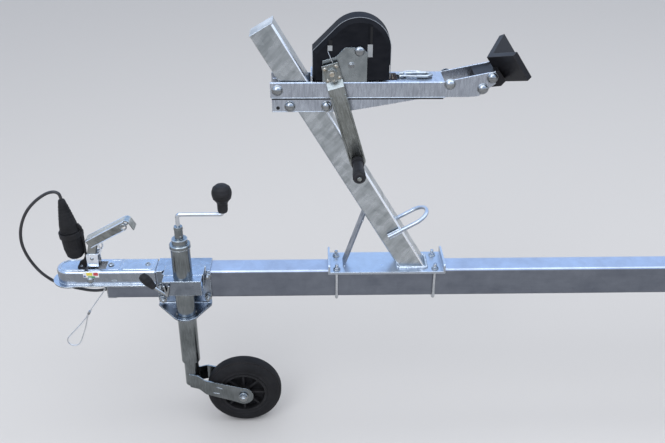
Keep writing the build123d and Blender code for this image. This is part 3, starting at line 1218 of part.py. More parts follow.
def light_board():
    """The light board: a channel across the rear, on two arms beside the beam."""
    rear = -LENGTH / 2 + LAMP_SIZE[2]
    front = rear + BOARD_SHEET
    low, high = BOARD_Z - BOARD_HEIGHT / 2, BOARD_Z + BOARD_HEIGHT / 2
    board = slab((rear, front), (-BOARD_HALF, BOARD_HALF), (low, high))
    for z in ((low, low + BOARD_SHEET), (high - BOARD_SHEET, high)):
        board += slab((rear, rear + BOARD_LIP), (-BOARD_HALF, BOARD_HALF), z)
    for y in (-PLATE_HOLES / 2, PLATE_HOLES / 2):
        board -= rod((rear - 5, y, BOARD_Z), (rear + 10, y, BOARD_Z), 3)
    arm = [(BEAM_REAR + 80, BEAM_BOTTOM + 18), (BEAM_REAR + 80, BEAM_TOP - 12),
           (BEAM_REAR + 10, BEAM_TOP - 10), (rear + BOARD_LIP + 40, high - 24), (front, high - 24),
           (front, low + 24), (BEAM_REAR - 20, BEAM_BOTTOM + 18)]
    return board + both_sides(side_plate(arm, BEAM_HALF, BEAM_HALF + SHEET))


def tail_lamps():
    """The two tail lamps."""
    width, height, depth = LAMP_SIZE
    rear = -LENGTH / 2
    lamp = slab((rear, rear + depth), (LAMP_Y - width / 2, LAMP_Y + width / 2),
                (BOARD_Z - height / 2, BOARD_Z + height / 2))
    lamp = rounded(lamp, Axis.X, 14)
    lamp = fillet(lamp.faces().sort_by(Axis.X)[0].edges(), 6)
    return Compound(children=[lamp, mirror(lamp, about=Plane.XZ)])


def mirrored(solid):
    """The right-hand twin of a left-hand piece."""
    return mirror(solid, about=Plane.XZ)


def make_sub_parts():
    """Every piece by its name."""
    pieces = {
        "drawbar": drawbar(),
        "drawbar_end_cap": drawbar_end_cap(),
        "coupling_head": coupling_head(),
        "coupling_handle": coupling_handle(),
        "supply_plug": supply_plug(),
        "plug_holder": plug_holder(),
        "supply_cable": supply_cable(),
        "cable_clip": cable_clip(),
        "safety_wire": safety_wire(),
        "safety_wire_fittings": Compound(children=[wire_hook(), wire_sleeve()]),
        "jockey_bracket": jockey_bracket(),
        "jockey_clamp": jockey_clamp(),
        "jockey_clamp_lever": jockey_clamp_lever(),
        "jockey_outer_tube": jockey_outer_tube(),
        "jockey_crank": jockey_crank(),
        "jockey_knob": jockey_knob(),
        "jockey_spindle_nut": jockey_spindle_nut(),
        "jockey_fork": jockey_fork(),
        "jockey_rim": jockey_rim(),
        "jockey_tyre": jockey_tyre(),
        "winch_post": winch_post(),
        "post_base": post_base(),
        "post_brace": post_brace(),
        "u_bolts": u_bolts(),
        "tie_down_loop": tie_down_loop(),
        "winch_arm": winch_arm(),
        "winch_arm_bracket": winch_arm_bracket(),
        "bow_stop": bow_stop(),
        "winch_frame": winch_frame(),
        "winch_cover": winch_cover(),
        "winch_drum": winch_drum(),
        "winch_strap": winch_strap(),
        "snap_hook": snap_hook(),
        "winch_crank": winch_crank(),
        "winch_grip": winch_grip(),
        "axle": axle(),
        "axle_rubber": rubber_cores(),
        "swing_arms": swing_arms(),
        "mudguard_stays": mudguard_stays(),
        "roller_brackets": roller_brackets(),
        "cross_member": cross_member(),
        "side_posts": side_posts(),
        "light_board": light_board(),
        "tail_lamps": tail_lamps(),
    }
    for number, back in enumerate(ROLLER_BACKS, 1):
        pieces[f"keel_roller_{number}"] = keel_roller(back)
    sided = {"hub": hub(), "wheel": wheel_rim(), "tyre": tyre(), "mudguard": mudguard(),
             "side_rocker": side_rocker(), "side_pad": side_pad()}
    for name, solid in sided.items():
        pieces[f"{name}_left"] = solid
        pieces[f"{name}_right"] = mirrored(solid)
    return pieces


if __name__ == "__main__":
    for name, solid in make_sub_parts().items():
        export_step(solid, f"parts/{name}.step")
        print(name, len(solid.solids()), round(solid.volume))
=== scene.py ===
"""The look of a single-beam boat trailer, piece by piece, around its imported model."""
import bpy
import bmesh
import random
from math import atan2, cos, hypot, pi, radians, sin, sqrt
from mathutils import Matrix, Vector


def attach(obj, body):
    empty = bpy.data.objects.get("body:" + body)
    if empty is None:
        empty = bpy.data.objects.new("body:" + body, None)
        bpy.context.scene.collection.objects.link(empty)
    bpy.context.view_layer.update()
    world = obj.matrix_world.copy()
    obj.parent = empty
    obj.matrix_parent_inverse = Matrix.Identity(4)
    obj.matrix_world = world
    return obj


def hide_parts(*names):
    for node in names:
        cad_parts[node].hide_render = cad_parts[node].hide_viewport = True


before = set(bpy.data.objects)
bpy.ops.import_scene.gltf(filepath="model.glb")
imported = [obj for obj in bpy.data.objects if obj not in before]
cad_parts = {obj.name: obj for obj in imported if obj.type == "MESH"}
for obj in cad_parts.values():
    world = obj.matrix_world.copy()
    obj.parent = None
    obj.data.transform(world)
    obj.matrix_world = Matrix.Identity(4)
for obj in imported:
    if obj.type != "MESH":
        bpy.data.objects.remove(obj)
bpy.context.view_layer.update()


# The camera stands at the trailer's left, a step away and a little above the winch, as in the
# photograph: its place, lens and aim were solved from the beam's, the post's and the arm's edges.
CAMERA_PLACE = Vector((1.9652, 1.8513, 1.5909))
CAMERA_AIM = Vector((1.9235, 0.0, 0.5695))
CAMERA_ROLL = radians(0.17)
camera_data = bpy.data.cameras.new("camera")
camera_data.sensor_width = 36
camera_data.lens = 45.13
camera = bpy.data.objects.new("camera", camera_data)
bpy.context.collection.objects.link(camera)
camera.location = CAMERA_PLACE
camera_turn = (CAMERA_AIM - CAMERA_PLACE).to_track_quat("-Z", "Y").to_matrix()
camera.rotation_euler = (camera_turn @ Matrix.Rotation(CAMERA_ROLL, 3, "Z")).to_euler()
bpy.context.scene.camera = camera
bpy.context.scene.view_settings.view_transform = "Standard"


# The supply cable comes out of its clip in the beam's mouth, passes beside the ball's socket,
# rises in a free bow and bends over into the plug. It is a round 8 mm cable with a rubber sheath.
NOSE_X = 2.65
BEAM_BOTTOM = 0.362


def at(back, left, rise):
    """A point in mm behind the nose, left of the middle and above the beam's underside."""
    return Vector((NOSE_X - back / 1000, left / 1000, BEAM_BOTTOM + rise / 1000))


def round_bar(name, routes, radius, roundness, kind="POLY"):
    """A round bar along each of these routes, kept as a curve; its radius is in mm."""
    data = bpy.data.curves.new(name, "CURVE")
    data.dimensions = "3D"
    data.bevel_depth = radius / 1000
    data.bevel_resolution = roundness
    data.use_fill_caps = True
    for route in routes:
        spline = data.splines.new(kind)
        spline.points.add(len(route) - 1)
        for point, place in zip(spline.points, route):
            point.co = (*place, 1)
    line = bpy.data.objects.new(name, data)
    bpy.context.collection.objects.link(line)
    return line


def smooth_line(name, points, radius):
    """A round bar along one smooth curve with these control points; its radius is in mm."""
    line = round_bar(name, [points], radius, 5, "NURBS")
    spline = line.data.splines[0]
    spline.resolution_u = 10
    spline.use_endpoint_u = True
    spline.order_u = 3
    return line


def add_node(finish, kind, inputs=(), **settings):
    """Adds a shader node with the values of its inputs and its settings."""
    made = finish.node_tree.nodes.new("ShaderNode" + kind)
    for name, value in dict(inputs).items():
        made.inputs[name].default_value = value
    for name, value in settings.items():
        setattr(made, name, value)
    return made


def connect(finish, source, target):
    """Joins one node's output to another node's input."""
    finish.node_tree.links.new(source, target)


def skin(finish):
    """The shader that gives a finish its colour, gloss and relief."""
    return finish.node_tree.nodes["Principled BSDF"]


def new_finish(name, colour, roughness, metallic=0.0, more=()):
    """A finish with one main colour; patterns are laid over it afterwards."""
    finish = bpy.data.materials.new(name)
    finish.use_nodes = True
    values = {"Base Color": (*colour, 1), "Roughness": roughness, "Metallic": metallic, **dict(more)}
    for socket, value in values.items():
        skin(finish).inputs[socket].default_value = value
    return finish


def pattern(finish, kind, output, values, stretch=(1, 1, 1), turn=(0, 0, 0), **settings):
    """A pattern in the piece's own space, turned first and then stretched along its axes."""
    place = add_node(finish, "TexCoord")
    turned = add_node(finish, "Mapping", {"Rotation": turn})
    drawn = add_node(finish, "Mapping", {"Scale": stretch})
    made = add_node(finish, kind, values, **settings)
    connect(finish, place.outputs["Object"], turned.inputs["Vector"])
    connect(finish, turned.outputs["Vector"], drawn.inputs["Vector"])
    connect(finish, drawn.outputs["Vector"], made.inputs["Vector"])
    return made.outputs[output]


def grain(finish, scale, stretch=(1, 1, 1), turn=(0, 0, 0), detail=3.0):
    """Cloudy grain; a high stretch makes it fine along that axis."""
    values = {"Scale": scale, "Detail": detail, "Roughness": 0.6}
    return pattern(finish, "TexNoise", "Fac", values, stretch, turn)


def blend_patterns(finish, first, second, share):
    """Two patterns together, with the second one's share."""
    both = add_node(finish, "Mix", data_type="FLOAT")
    both.inputs[0].default_value = share
    connect(finish, first, both.inputs[2])
    connect(finish, second, both.inputs[3])
    return both.outputs[0]


def paint(finish, value, *stops):
    """Lets the main colour follow a pattern; a stop is the pattern's value and its colour."""
    ramp = add_node(finish, "ValToRGB")
    steps = ramp.color_ramp.elements
    for step, (position, colour) in zip(steps, stops):
        step.position = position
        step.color = (*colour, 1)
    connect(finish, value, ramp.inputs["Fac"])
    connect(finish, ramp.outputs["Color"], skin(finish).inputs["Base Color"])


def polish(finish, value, low, high):
    """Lets the roughness follow a pattern, between two values."""
    span = add_node(finish, "MapRange", {"From Min": 0.25, "From Max": 0.75, "To Min": low, "To Max": high})
    connect(finish, value, span.inputs["Value"])
    connect(finish, span.outputs["Result"], skin(finish).inputs["Roughness"])


def relief(finish, value, depth, edge=0.0):
    """Raises the surface with a pattern and rounds the look of every edge; both are in mm."""
    bump = add_node(finish, "Bump", {"Strength": 1.0, "Distance": depth / 1000})
    connect(finish, value, bump.inputs["Height"])
    if edge:
        rounded = add_node(finish, "Bevel", {"Radius": edge / 1000}, samples=4)
        connect(finish, rounded.outputs["Normal"], bump.inputs["Normal"])
    connect(finish, bump.outputs["Normal"], skin(finish).inputs["Normal"])


def speckled(name, dark, light, gloss, scales, metallic=0.0, depth=0.0, spread=(0.3, 0.7)):
    """A finish whose colour, gloss and height each follow grain, at a scale of their own."""
    finish = new_finish(name, light, gloss[1], metallic)
    paint(finish, grain(finish, scales[0]), (spread[0], dark), (spread[1], light))
    polish(finish, grain(finish, scales[1]), *gloss)
    if depth:
        relief(finish, grain(finish, scales[2]), depth)
    return finish


def fit(piece, body, finish):
    """Gives a new piece its finish and the body it rides on."""
    piece.data.materials.clear()
    piece.data.materials.append(finish)
    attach(piece, body)


sheath = speckled("rubber_sheath", (0.015, 0.015, 0.017), (0.032, 0.032, 0.035), (0.36, 0.55),
                  (60, 90, 900), depth=0.05)
cable_route = [(134, 0, 10), (114, -8, 0.4), (86, -20, -8), (54.5, -31, -9.5), (25.5, -33.5, -3),
               (-0.5, -29, 9), (-21, -21, 30), (-38.5, -15, 54), (-52.5, -11.5, 81),
               (-64, -10, 110), (-71, -10, 142), (-69, -10, 176), (-58, -9, 210), (-40, -7, 242),
               (-16, -5, 268), (8, -4, 286), (24, -3, 294), (38, -1.5, 297), (48, -0.5, 293.5)]
plug_foot = at(67, 0, 113)
plug_way = Vector((sin(radians(5)), 0, cos(radians(5))))
PLUG_LENGTH = 0.163
CABLE_EXIT = 0.011
CABLE_RADIUS = 4
cable_points = [at(*point) for point in cable_route]
cable_points += [plug_foot + plug_way * (PLUG_LENGTH + past) for past in (CABLE_EXIT, 0)]
cable = smooth_line("supply_cable_sheath", cable_points, CABLE_RADIUS)
fit(cable, "frame", sheath)
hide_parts("supply_cable")


# The safety wire hangs in a loop from its hook at the beam's front edge: six steel strands laid
# round a core. A crimped sleeve closes the loop, and the hook is bent from zinc-plated bar.
wire_route = [(134, 26, 25), (121, 26.4, 6), (107.5, 27.2, -12), (91.5, 28, -34.5),
              (77, 28.8, -58), (62, 29.4, -76.5), (45.5, 30, -95), (28.5, 30.4, -113),
              (15.5, 30.4, -127.5), (15.5, 30.4, -141.5), (25.5, 30.2, -151), (39.5, 29.8, -151),
              (49, 29.2, -141.5), (58.5, 28, -119), (70, 26.6, -89.5), (75.5, 25.6, -67.5),
              (81.3, 25.2, -50.6)]
CORE_RADIUS = 1.25
STRANDS = 6
STRAND_RADIUS = 0.62
STRAND_FROM_MIDDLE = 0.00118
STRAND_LAY = 0.020


def points_along(line):
    """The points of a curve's own line, as the curve gives them."""
    bare = line.data.copy()
    bare.bevel_depth = 0
    holder = bpy.data.objects.new("measure", bare)
    mesh = bpy.data.meshes.new_from_object(holder)
    points = [vertex.co.copy() for vertex in mesh.vertices]
    bpy.data.objects.remove(holder)
    return points


strand_steel = speckled("drawn_steel", (0.48, 0.49, 0.50), (0.80, 0.81, 0.82), (0.22, 0.42),
                        (400, 500, 2000), 1.0, 0.03)
wire_points = [at(*point) for point in wire_route]
wire = smooth_line("safety_wire_core", wire_points, CORE_RADIUS)
middles = points_along(wire)
side = (middles[1] - middles[0]).orthogonal().normalized()
travelled = 0.0
strand_paths = [[] for strand in range(STRANDS)]
for index, middle in enumerate(middles):
    before = middles[max(index - 1, 0)]
    after = middles[min(index + 1, len(middles) - 1)]
    ahead = (after - before).normalized()
    side = (side - ahead * side.dot(ahead)).normalized()
    travelled += (middle - before).length
    for strand, path in enumerate(strand_paths):
        angle = 2 * pi * (strand / STRANDS + travelled / STRAND_LAY)
        out = side * cos(angle) + ahead.cross(side) * sin(angle)
        path.append(middle + out * STRAND_FROM_MIDDLE)
strands = round_bar("safety_wire_strands", strand_paths, STRAND_RADIUS, 2)
for piece in (wire, strands):
    fit(piece, "frame", strand_steel)
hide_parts("safety_wire")


def scaled(colour, factor):
    """A colour made darker or lighter, up to white."""
    return tuple(min(1.0, value * factor) for value in colour)


def lay_over(finish, mask, colour):
    """Lays a colour over the main one, as far as a mask says."""
    main_colour = skin(finish).inputs["Base Color"]
    over = add_node(finish, "Mix", data_type="RGBA")
    over.inputs[7].default_value = (*colour, 1)
    connect(finish, mask, over.inputs[0])
    connect(finish, main_colour.links[0].from_socket, over.inputs[6])
    connect(finish, over.outputs[2], main_colour)


# how nearly the rounded and the flat surface face one way, where an edge begins and where it is full
SHARP_FROM, SHARP_TO = 0.98, 0.80


def edge_wear_and_highlight(finish, colour, edge, amount=1.0):
    """Lays a colour along edges, within a width in mm: rubbed wear and dust on some finishes, a painted
    highlight on the zinc.
    """
    rounded = add_node(finish, "Bevel", {"Radius": edge / 1000}, samples=4)
    flat = add_node(finish, "NewGeometry")
    same = add_node(finish, "VectorMath", operation="DOT_PRODUCT")
    edge_share = add_node(finish, "MapRange", {"From Min": SHARP_FROM, "From Max": SHARP_TO, "To Max": amount})
    connect(finish, rounded.outputs["Normal"], same.inputs[0])
    connect(finish, flat.outputs["Normal"], same.inputs[1])
    connect(finish, same.outputs["Value"], edge_share.inputs["Value"])
    lay_over(finish, edge_share.outputs["Result"], colour)


def facing(finish, way):
    """How far the surface looks one way, from -1 to 1."""
    surface = add_node(finish, "NewGeometry")
    toward = add_node(finish, "VectorMath", operation="DOT_PRODUCT")
    toward.inputs[1].default_value = way
    connect(finish, surface.outputs["Normal"], toward.inputs[0])
    return toward.outputs["Value"]


def paint_side_shade(finish, side_shade_share):
    """Painted shade: darkens the faces that don't look upwards, sides and undersides, to a share."""
    main_colour = skin(finish).inputs["Base Color"]
    shade_factor = add_node(finish, "MapRange", {"From Min": 0.05, "From Max": 0.6, "To Min": side_shade_share})
    shaded_colour = add_node(finish, "VectorMath", operation="SCALE")
    connect(finish, facing(finish, (0, 0, 1)), shade_factor.inputs["Value"])
    connect(finish, main_colour.links[0].from_socket, shaded_colour.inputs[0])
    connect(finish, shade_factor.outputs["Result"], shaded_colour.inputs["Scale"])
    connect(finish, shaded_colour.outputs["Vector"], main_colour)


def zinc_plate(name, dull, bright, turn=(0, 0, 0), stretch=(1, 1, 6), edge=1.2, gloss=(0.18, 0.36),
               depth=0.06, side_shade_share=1.0):
    """Electroplated zinc: a fine drawn grain, cloudy stains, painted highlights on edges and painted shade on
    sides.
    """
    finish = new_finish(name, bright, 0.3, 1.0)
    drawn = grain(finish, 60, stretch, turn)
    both = blend_patterns(finish, drawn, grain(finish, 14, detail=4), 0.55)
    paint(finish, both, (0.36, dull), (0.62, bright))
    # painted highlight: a brighter zinc colour along the edges
    edge_wear_and_highlight(finish, scaled(bright, 1.45), edge)
    polish(finish, both, *gloss)
    relief(finish, blend_patterns(finish, drawn, grain(finish, 260), 0.5), depth, edge)
    # painted shade on the faces that don't look upwards
    if side_shade_share < 1:
        paint_side_shade(finish, side_shade_share)
    return finish


def dress(finish, *names):
    """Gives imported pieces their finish."""
    for name in names:
        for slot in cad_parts[name].material_slots:
            slot.material = finish


bright_zinc = zinc_plate("bright_zinc", (0.32, 0.33, 0.34), (0.60, 0.62, 0.62), side_shade_share=0.55)
dress(bright_zinc, "safety_wire_fittings")


# The beam is a hot-dip galvanised rectangular tube: flat crystals of zinc in slightly different
# greys, cloudy dull patches, rounded corners painted bright as a highlight and sides painted in
# shade. A black plastic cap is pushed into its rear end, and a clip of the same plastic holds the
# cable in its mouth.
def crystals(finish, scale, stretch=(1, 1, 1), turn=(0, 0, 0)):
    """Patches of even tone, as crystals or scales grow; the value is different in each."""
    return pattern(finish, "TexVoronoi", "Color", {"Scale": scale}, stretch, turn)


def galvanised(name, dull, bright, crystal=70, streak=(1, 1, 1), turn=(0, 0, 0), streak_share=0.4,
               gloss=(0.28, 0.5), edge=1.5, crystal_share=0.45, side_shade_share=0.65, depth=0.12):
    """Hot-dip galvanised steel: crystals, runs of zinc along one way, painted shade on sides and painted
    highlights on edges.
    """
    finish = new_finish(name, bright, 0.38, 1.0)
    cells = crystals(finish, crystal, (1, 1, 0.6), turn)
    runs = grain(finish, 10, streak, turn, 4)
    cloud = blend_patterns(finish, grain(finish, 30, detail=5), grain(finish, 9, detail=2), 0.4)
    clouded_cells = blend_patterns(finish, cloud, cells, crystal_share)
    tones = blend_patterns(finish, clouded_cells, runs, streak_share)
    paint(finish, tones, (0.36, dull), (0.64, bright))
    # painted shade on the faces that don't look upwards
    paint_side_shade(finish, side_shade_share)
    # painted highlight: a brighter zinc colour along the edges
    edge_wear_and_highlight(finish, scaled(bright, 1.5), edge)
    polish(finish, tones, gloss[1], gloss[0])
    fine = blend_patterns(finish, grain(finish, 220, detail=4), cells, 0.25)
    relief(finish, blend_patterns(finish, fine, runs, 0.3), depth, edge)
    return finish


beam_zinc = galvanised("beam_zinc", (0.44, 0.48, 0.57), (0.60, 0.65, 0.75), 60, (1, 1, 4),
                       crystal_share=0.12, side_shade_share=0.33)
dress(beam_zinc, "drawbar")


def moulded(name, dark, light, roughness=(0.45, 0.65), skin_scale=500, edge=1.0, depth=0.12, ior=1.3):
    """Moulded plastic: a leathery skin, faint flow marks and paler edges, partly rubbed wear and partly a
    painted highlight.
    """
    finish = new_finish(name, dark, 0.5, more={"IOR": ior})
    flow = grain(finish, 25, (1, 1, 2), detail=4)
    paint(finish, flow, (0.35, dark), (0.68, light))
    # paler edges: partly rubbed wear and partly a painted highlight
    edge_wear_and_highlight(finish, tuple(value * 1.9 for value in light), edge, 0.7)
    polish(finish, blend_patterns(finish, flow, grain(finish, 90), 0.5), *roughness)
    relief(finish, grain(finish, skin_scale, detail=2), depth, edge)
    return finish


black_plastic = moulded("black_plastic", (0.010, 0.010, 0.011), (0.022, 0.022, 0.025))
dress(black_plastic, "drawbar_end_cap", "cable_clip")


# The coupling head is pressed from sheet and galvanised, with a smoother, bluer skin than the
# tube. Two button-head bolts on its raised pad and a pin through its sides hold it together.
LEFT, RIGHT = Vector((0, 1, 0)), Vector((0, -1, 0))
UP, DOWN = Vector((0, 0, 1)), Vector((0, 0, -1))
HEAD_SIDE = 34.0
HEAD_PAD_TOP = 83.6
HANDLE_PIN_BACK, HANDLE_PIN_RISE = 104, 60


def pick(*pieces):
    """Selects these pieces alone, the first as the active one."""
    bpy.ops.object.select_all(action="DESELECT")
    for piece in pieces:
        piece.select_set(True)
    bpy.context.view_layer.objects.active = pieces[0]


def open_mesh(piece, kind="FACE"):
    """Opens one piece for shaping, with nothing picked."""
    pick(piece)
    bpy.ops.object.mode_set(mode="EDIT")
    bpy.ops.mesh.select_mode(type=kind)
    bpy.ops.mesh.select_all(action="DESELECT")


def shut_mesh():
    """Ends the shaping of the open piece."""
    bpy.ops.object.mode_set(mode="OBJECT")


def spun(section, sides=40):
    """A turned piece about Z; its section's corners are radius and height in mm, all round."""
    bpy.ops.object.select_all(action="DESELECT")
    bpy.ops.mesh.primitive_circle_add(vertices=len(section), radius=1)
    piece = bpy.context.object
    for corner, (radius, height) in zip(piece.data.vertices, section):
        corner.co = (radius / 1000, 0, height / 1000)
    open_mesh(piece)
    bpy.ops.mesh.select_all(action="SELECT")
    bpy.ops.mesh.spin(steps=sides, angle=2 * pi, center=(0, 0, 0), axis=(0, 0, 1))
    bpy.ops.mesh.select_all(action="SELECT")
    bpy.ops.mesh.remove_doubles(threshold=1e-6)
    bpy.ops.mesh.delete_loose(use_faces=False)
    bpy.ops.mesh.select_all(action="SELECT")
    bpy.ops.mesh.normals_make_consistent(inside=False)
    shut_mesh()
    return piece


def block(length, width, height, bevel=0.5, steps=2):
    """A block standing on the origin, along X, Y and Z in mm, with bevelled edges."""
    bpy.ops.object.select_all(action="DESELECT")
    bpy.ops.mesh.primitive_cube_add(size=0.001)
    piece = bpy.context.object
    open_mesh(piece)
    bpy.ops.mesh.select_all(action="SELECT")
    bpy.ops.transform.resize(value=(length, width, height), center_override=(0, 0, 0))
    bpy.ops.transform.translate(value=(0, 0, height / 2000))
    bpy.ops.mesh.bevel(offset=bevel / 1000, segments=steps, affect="EDGES")
    shut_mesh()
    return piece


def settle(piece, place, way=UP, roll=0.0):
    """Puts a piece made upright at the origin at its place, pointing along a way."""
    turn = Vector(way).to_track_quat("Z", "Y").to_matrix() @ Matrix.Rotation(roll, 3, "Z")
    piece.data.transform(Matrix.Translation(place) @ turn.to_4x4())
    return piece


def bar(start, end, radius, sides=20):
    """A round bar with softened ends between two points; its radius is in mm."""
    length = (end - start).length * 1000
    soft = radius * 0.35
    piece = spun([(0, 0), (radius - soft, 0), (radius, soft), (radius, length - soft),
                  (radius - soft, length), (0, length)], sides)
    return settle(piece, start, end - start)


def bead(points, radius):
    """A bead of round section through these points, as a mesh; its radius is in mm."""
    pick(round_bar("bead", [points], radius, 3))
    bpy.ops.object.convert(target="MESH")
    return bpy.context.object


def joined(pieces):
    """Several pieces made one."""
    pick(*pieces)
    if len(pieces) > 1:
        bpy.ops.object.join()
    return pieces[0]


def repeated(master, spots):
    """Copies of a small piece, each at a place and along a way, made one."""
    copies = []
    for place, way in spots:
        copy = bpy.data.objects.new("copy", master.data.copy())
        bpy.context.collection.objects.link(copy)
        copies.append(settle(copy, place, way))
    bpy.data.objects.remove(master)
    return joined(copies)


def either_side(back, left, rise):
    """The same spot at the left and at the right, each with its way outwards."""
    return [(at(back, left, rise), LEFT), (at(back, -left, rise), RIGHT)]


def complete(piece, name, body, finish, sharp=35):
    """Names a shaped piece, smooths it up to a sharp angle in degrees and fits it."""
    piece.name = name
    piece.data.name = name
    pick(piece)
    bpy.ops.object.shade_smooth_by_angle(angle=radians(sharp))
    fit(piece, body, finish)


def complete_zinc(piece, name, body="frame"):
    """Completes a bright zinc-plated fastener or small fitting."""
    complete(piece, name, body, bright_zinc)


def dome_section(radius, height, washer, sheet=1.6):
    """The section of a domed bolt head on its washer."""
    arc = [(radius * cos(radians(angle)), sheet + height * sin(radians(angle)))
           for angle in range(0, 91, 15)]
    return [(0, 0), (washer, 0), (washer, sheet * 0.6), (washer - 0.6, sheet)] + arc


pressed_zinc = galvanised("pressed_zinc", (0.46, 0.50, 0.56), (0.64, 0.69, 0.76), 110, streak_share=0.25,
                          gloss=(0.2, 0.36), edge=2.0, crystal_share=0.2, side_shade_share=0.48, depth=0.015)
dress(pressed_zinc, "coupling_head")
button = spun([(0, 0.8), (3.4, 0.8), (3.6, 2.9), (6.0, 2.5), (7.3, 0.9), (7.6, 0), (0, 0)], 28)
buttons = repeated(button, [(at(back, 0, 85.4), UP) for back in (152.8, 248.2)])
complete_zinc(buttons, "coupling_head_bolts")
pin_head = spun(dome_section(7.5, 3.2, 9.0, 0.8), 28)
complete_zinc(repeated(pin_head, either_side(HANDLE_PIN_BACK, 37, HANDLE_PIN_RISE)), "handle_pin_heads")
RIM_LEFT, RIM_BACK = 24.5, 47
rim_points = [at(90, RIM_LEFT, HEAD_PAD_TOP)]
for angle in range(0, 181, 6):
    rim_points.append(at(RIM_BACK - RIM_LEFT * sin(radians(angle)), RIM_LEFT * cos(radians(angle)),
                         HEAD_PAD_TOP))
rim_points.append(at(90, -RIM_LEFT, HEAD_PAD_TOP))
swages = [bead(rim_points, 2.0)]
swages += [bar(at(back, -29, 83.7), at(back, 29, 83.7), 1.3) for back in (176, 267)]
swages += [bar(at(150, left, 83.7), at(176, left, 83.7), 1.2) for left in (-22, 22)]
complete(joined(swages), "coupling_head_swages", "frame", pressed_zinc)
slot_mark = spun([(2.6, 0), (4.2, 0), (3.6, 1.1), (2.9, 1.1)], 24)
open_mesh(slot_mark)
bpy.ops.mesh.select_all(action="SELECT")
bpy.ops.transform.resize(value=(2.1, 0.8, 1), center_override=(0, 0, 0))
shut_mesh()
settle(slot_mark, at(164.5, HEAD_SIDE - 0.1, 56.5), LEFT, pi)
complete_zinc(slot_mark, "coupling_head_slot")


# A small sticker on the head's left side: plain bands of colour on white film, with no words.
film = speckled("sticker_film", (0.66, 0.68, 0.68), (0.84, 0.85, 0.84), (0.28, 0.45), (200, 300))
sticker = block(40, 16, 0.25, 0.1, 1)
settle(sticker, at(107, HEAD_SIDE, 75.5), LEFT)
complete(sticker, "head_sticker", "frame", film)
# columns: name, behind the nose, rise, length, height, colour
STICKER_BANDS = [("yellow", 103, 77.5, 15, 9, (0.80, 0.66, 0.06)),
                 ("red", 119, 77.5, 12, 9, (0.55, 0.04, 0.05)),
                 ("green", 108, 69.5, 18, 4, (0.05, 0.34, 0.10)),
                 ("blue", 90.5, 71.5, 5, 5, (0.05, 0.10, 0.42))]
for name, back, rise, length, height, colour in STICKER_BANDS:
    faded = tuple(value * 0.7 + 0.05 for value in colour)
    ink = speckled("sticker_" + name, faded, colour, (0.28, 0.45), (260, 300), spread=(0.35, 0.6))
    band = block(length, height, 0.2, 0.08, 1)
    settle(band, at(back, HEAD_SIDE + 0.2, rise), LEFT)
    complete(band, "head_sticker_" + name, "frame", ink)


# The coupling handle is a folded, zinc-plated channel; the beads along its edges are painted in a
# near-white zinc as a highlight. The hole near its end has a rolled rim, and a bent strip runs behind
# each leg. The legs turn between two cheek plates on the head, with a coil spring round their pin.
HANDLE_LEAN = radians(29)
HANDLE_BACK, HANDLE_RISE = 99, 164
handle_zinc = zinc_plate("handle_zinc", (0.26, 0.27, 0.26), (0.60, 0.63, 0.62), (0, HANDLE_LEAN, 0),
                         (1, 4, 6), 1.6, (0.14, 0.3), side_shade_share=0.5)
dress(handle_zinc, "coupling_handle")
# painted highlight: a near-white, bluish zinc for the handle's edge beads, cheek plates and strips
highlight_zinc = zinc_plate("highlight_zinc", (0.62, 0.66, 0.72), (0.86, 0.90, 0.95), gloss=(0.2, 0.3), depth=0.01)


def on_handle(along, above, left):
    """A point along the raised handle, above its top and left of the middle, in mm."""
    return at(HANDLE_BACK + along * cos(HANDLE_LEAN) - above * sin(HANDLE_LEAN), left,
              HANDLE_RISE + along * sin(HANDLE_LEAN) + above * cos(HANDLE_LEAN))


rim = spun([(6.2, -0.6), (6.2, 1.3), (7.4, 2.1), (8.9, 1.5), (9.4, 0), (9.4, -0.4)], 36)
rims = repeated(rim, [(on_handle(108, -14, 15), LEFT), (on_handle(108, -14, -15), RIGHT)])
complete_zinc(rims, "handle_hole_rims", "coupling_handle")
edges = []
for left in (14.4, -14.4):
    edges.append(bar(on_handle(1, -1.2, left), on_handle(117, -1.2, left), 1.7))
    edges.append(bar(on_handle(2, -23.0, left), on_handle(108, -23.0, left), 1.5))
complete(joined(edges), "handle_edge_highlights", "coupling_handle", highlight_zinc)
cheeks = [settle(block(30, 2.6, 38, 0.9, 2), at(110.5, left, 87)) for left in (13.8, -13.8)]
complete(joined(cheeks), "handle_cheek_plates", "frame", highlight_zinc)
strip_path = [(127, 158), (130.1, 152), (134, 141), (134.5, 134), (131.5, 128.5), (126.5, 124.5),
              (119, 122.5)]
strips = [bead([at(back, left, rise) for back, rise in strip_path], 2.2) for left in (12.2, -12.2)]
complete(joined(strips), "handle_spring_strips", "coupling_handle", highlight_zinc)
for name, body, spot in (("handle_rivets", "coupling_handle", (112, 12, 146)),
                         ("cheek_rivets", "frame", (110, 15, 112))):
    rivet = spun(dome_section(3.6, 2.2, 4.6, 0.5), 20)
    complete_zinc(repeated(rivet, either_side(*spot)), name, body)
SPRING_TURNS, SPRING_STEPS, SPRING_RADIUS, SPRING_HALF = 5, 20, 9.6, 7
spring_path = []
for index in range(SPRING_TURNS * SPRING_STEPS + 1):
    angle = 2 * pi * index / SPRING_STEPS
    left = SPRING_HALF * (2 * index / (SPRING_TURNS * SPRING_STEPS) - 1)
    spring_path.append(at(HANDLE_PIN_BACK + SPRING_RADIUS * cos(angle), left,
                          HANDLE_PIN_RISE + SPRING_RADIUS * sin(angle)))
spring = round_bar("handle_spring", [spring_path], 0.9, 3)
fit(spring, "coupling_handle", strand_steel)


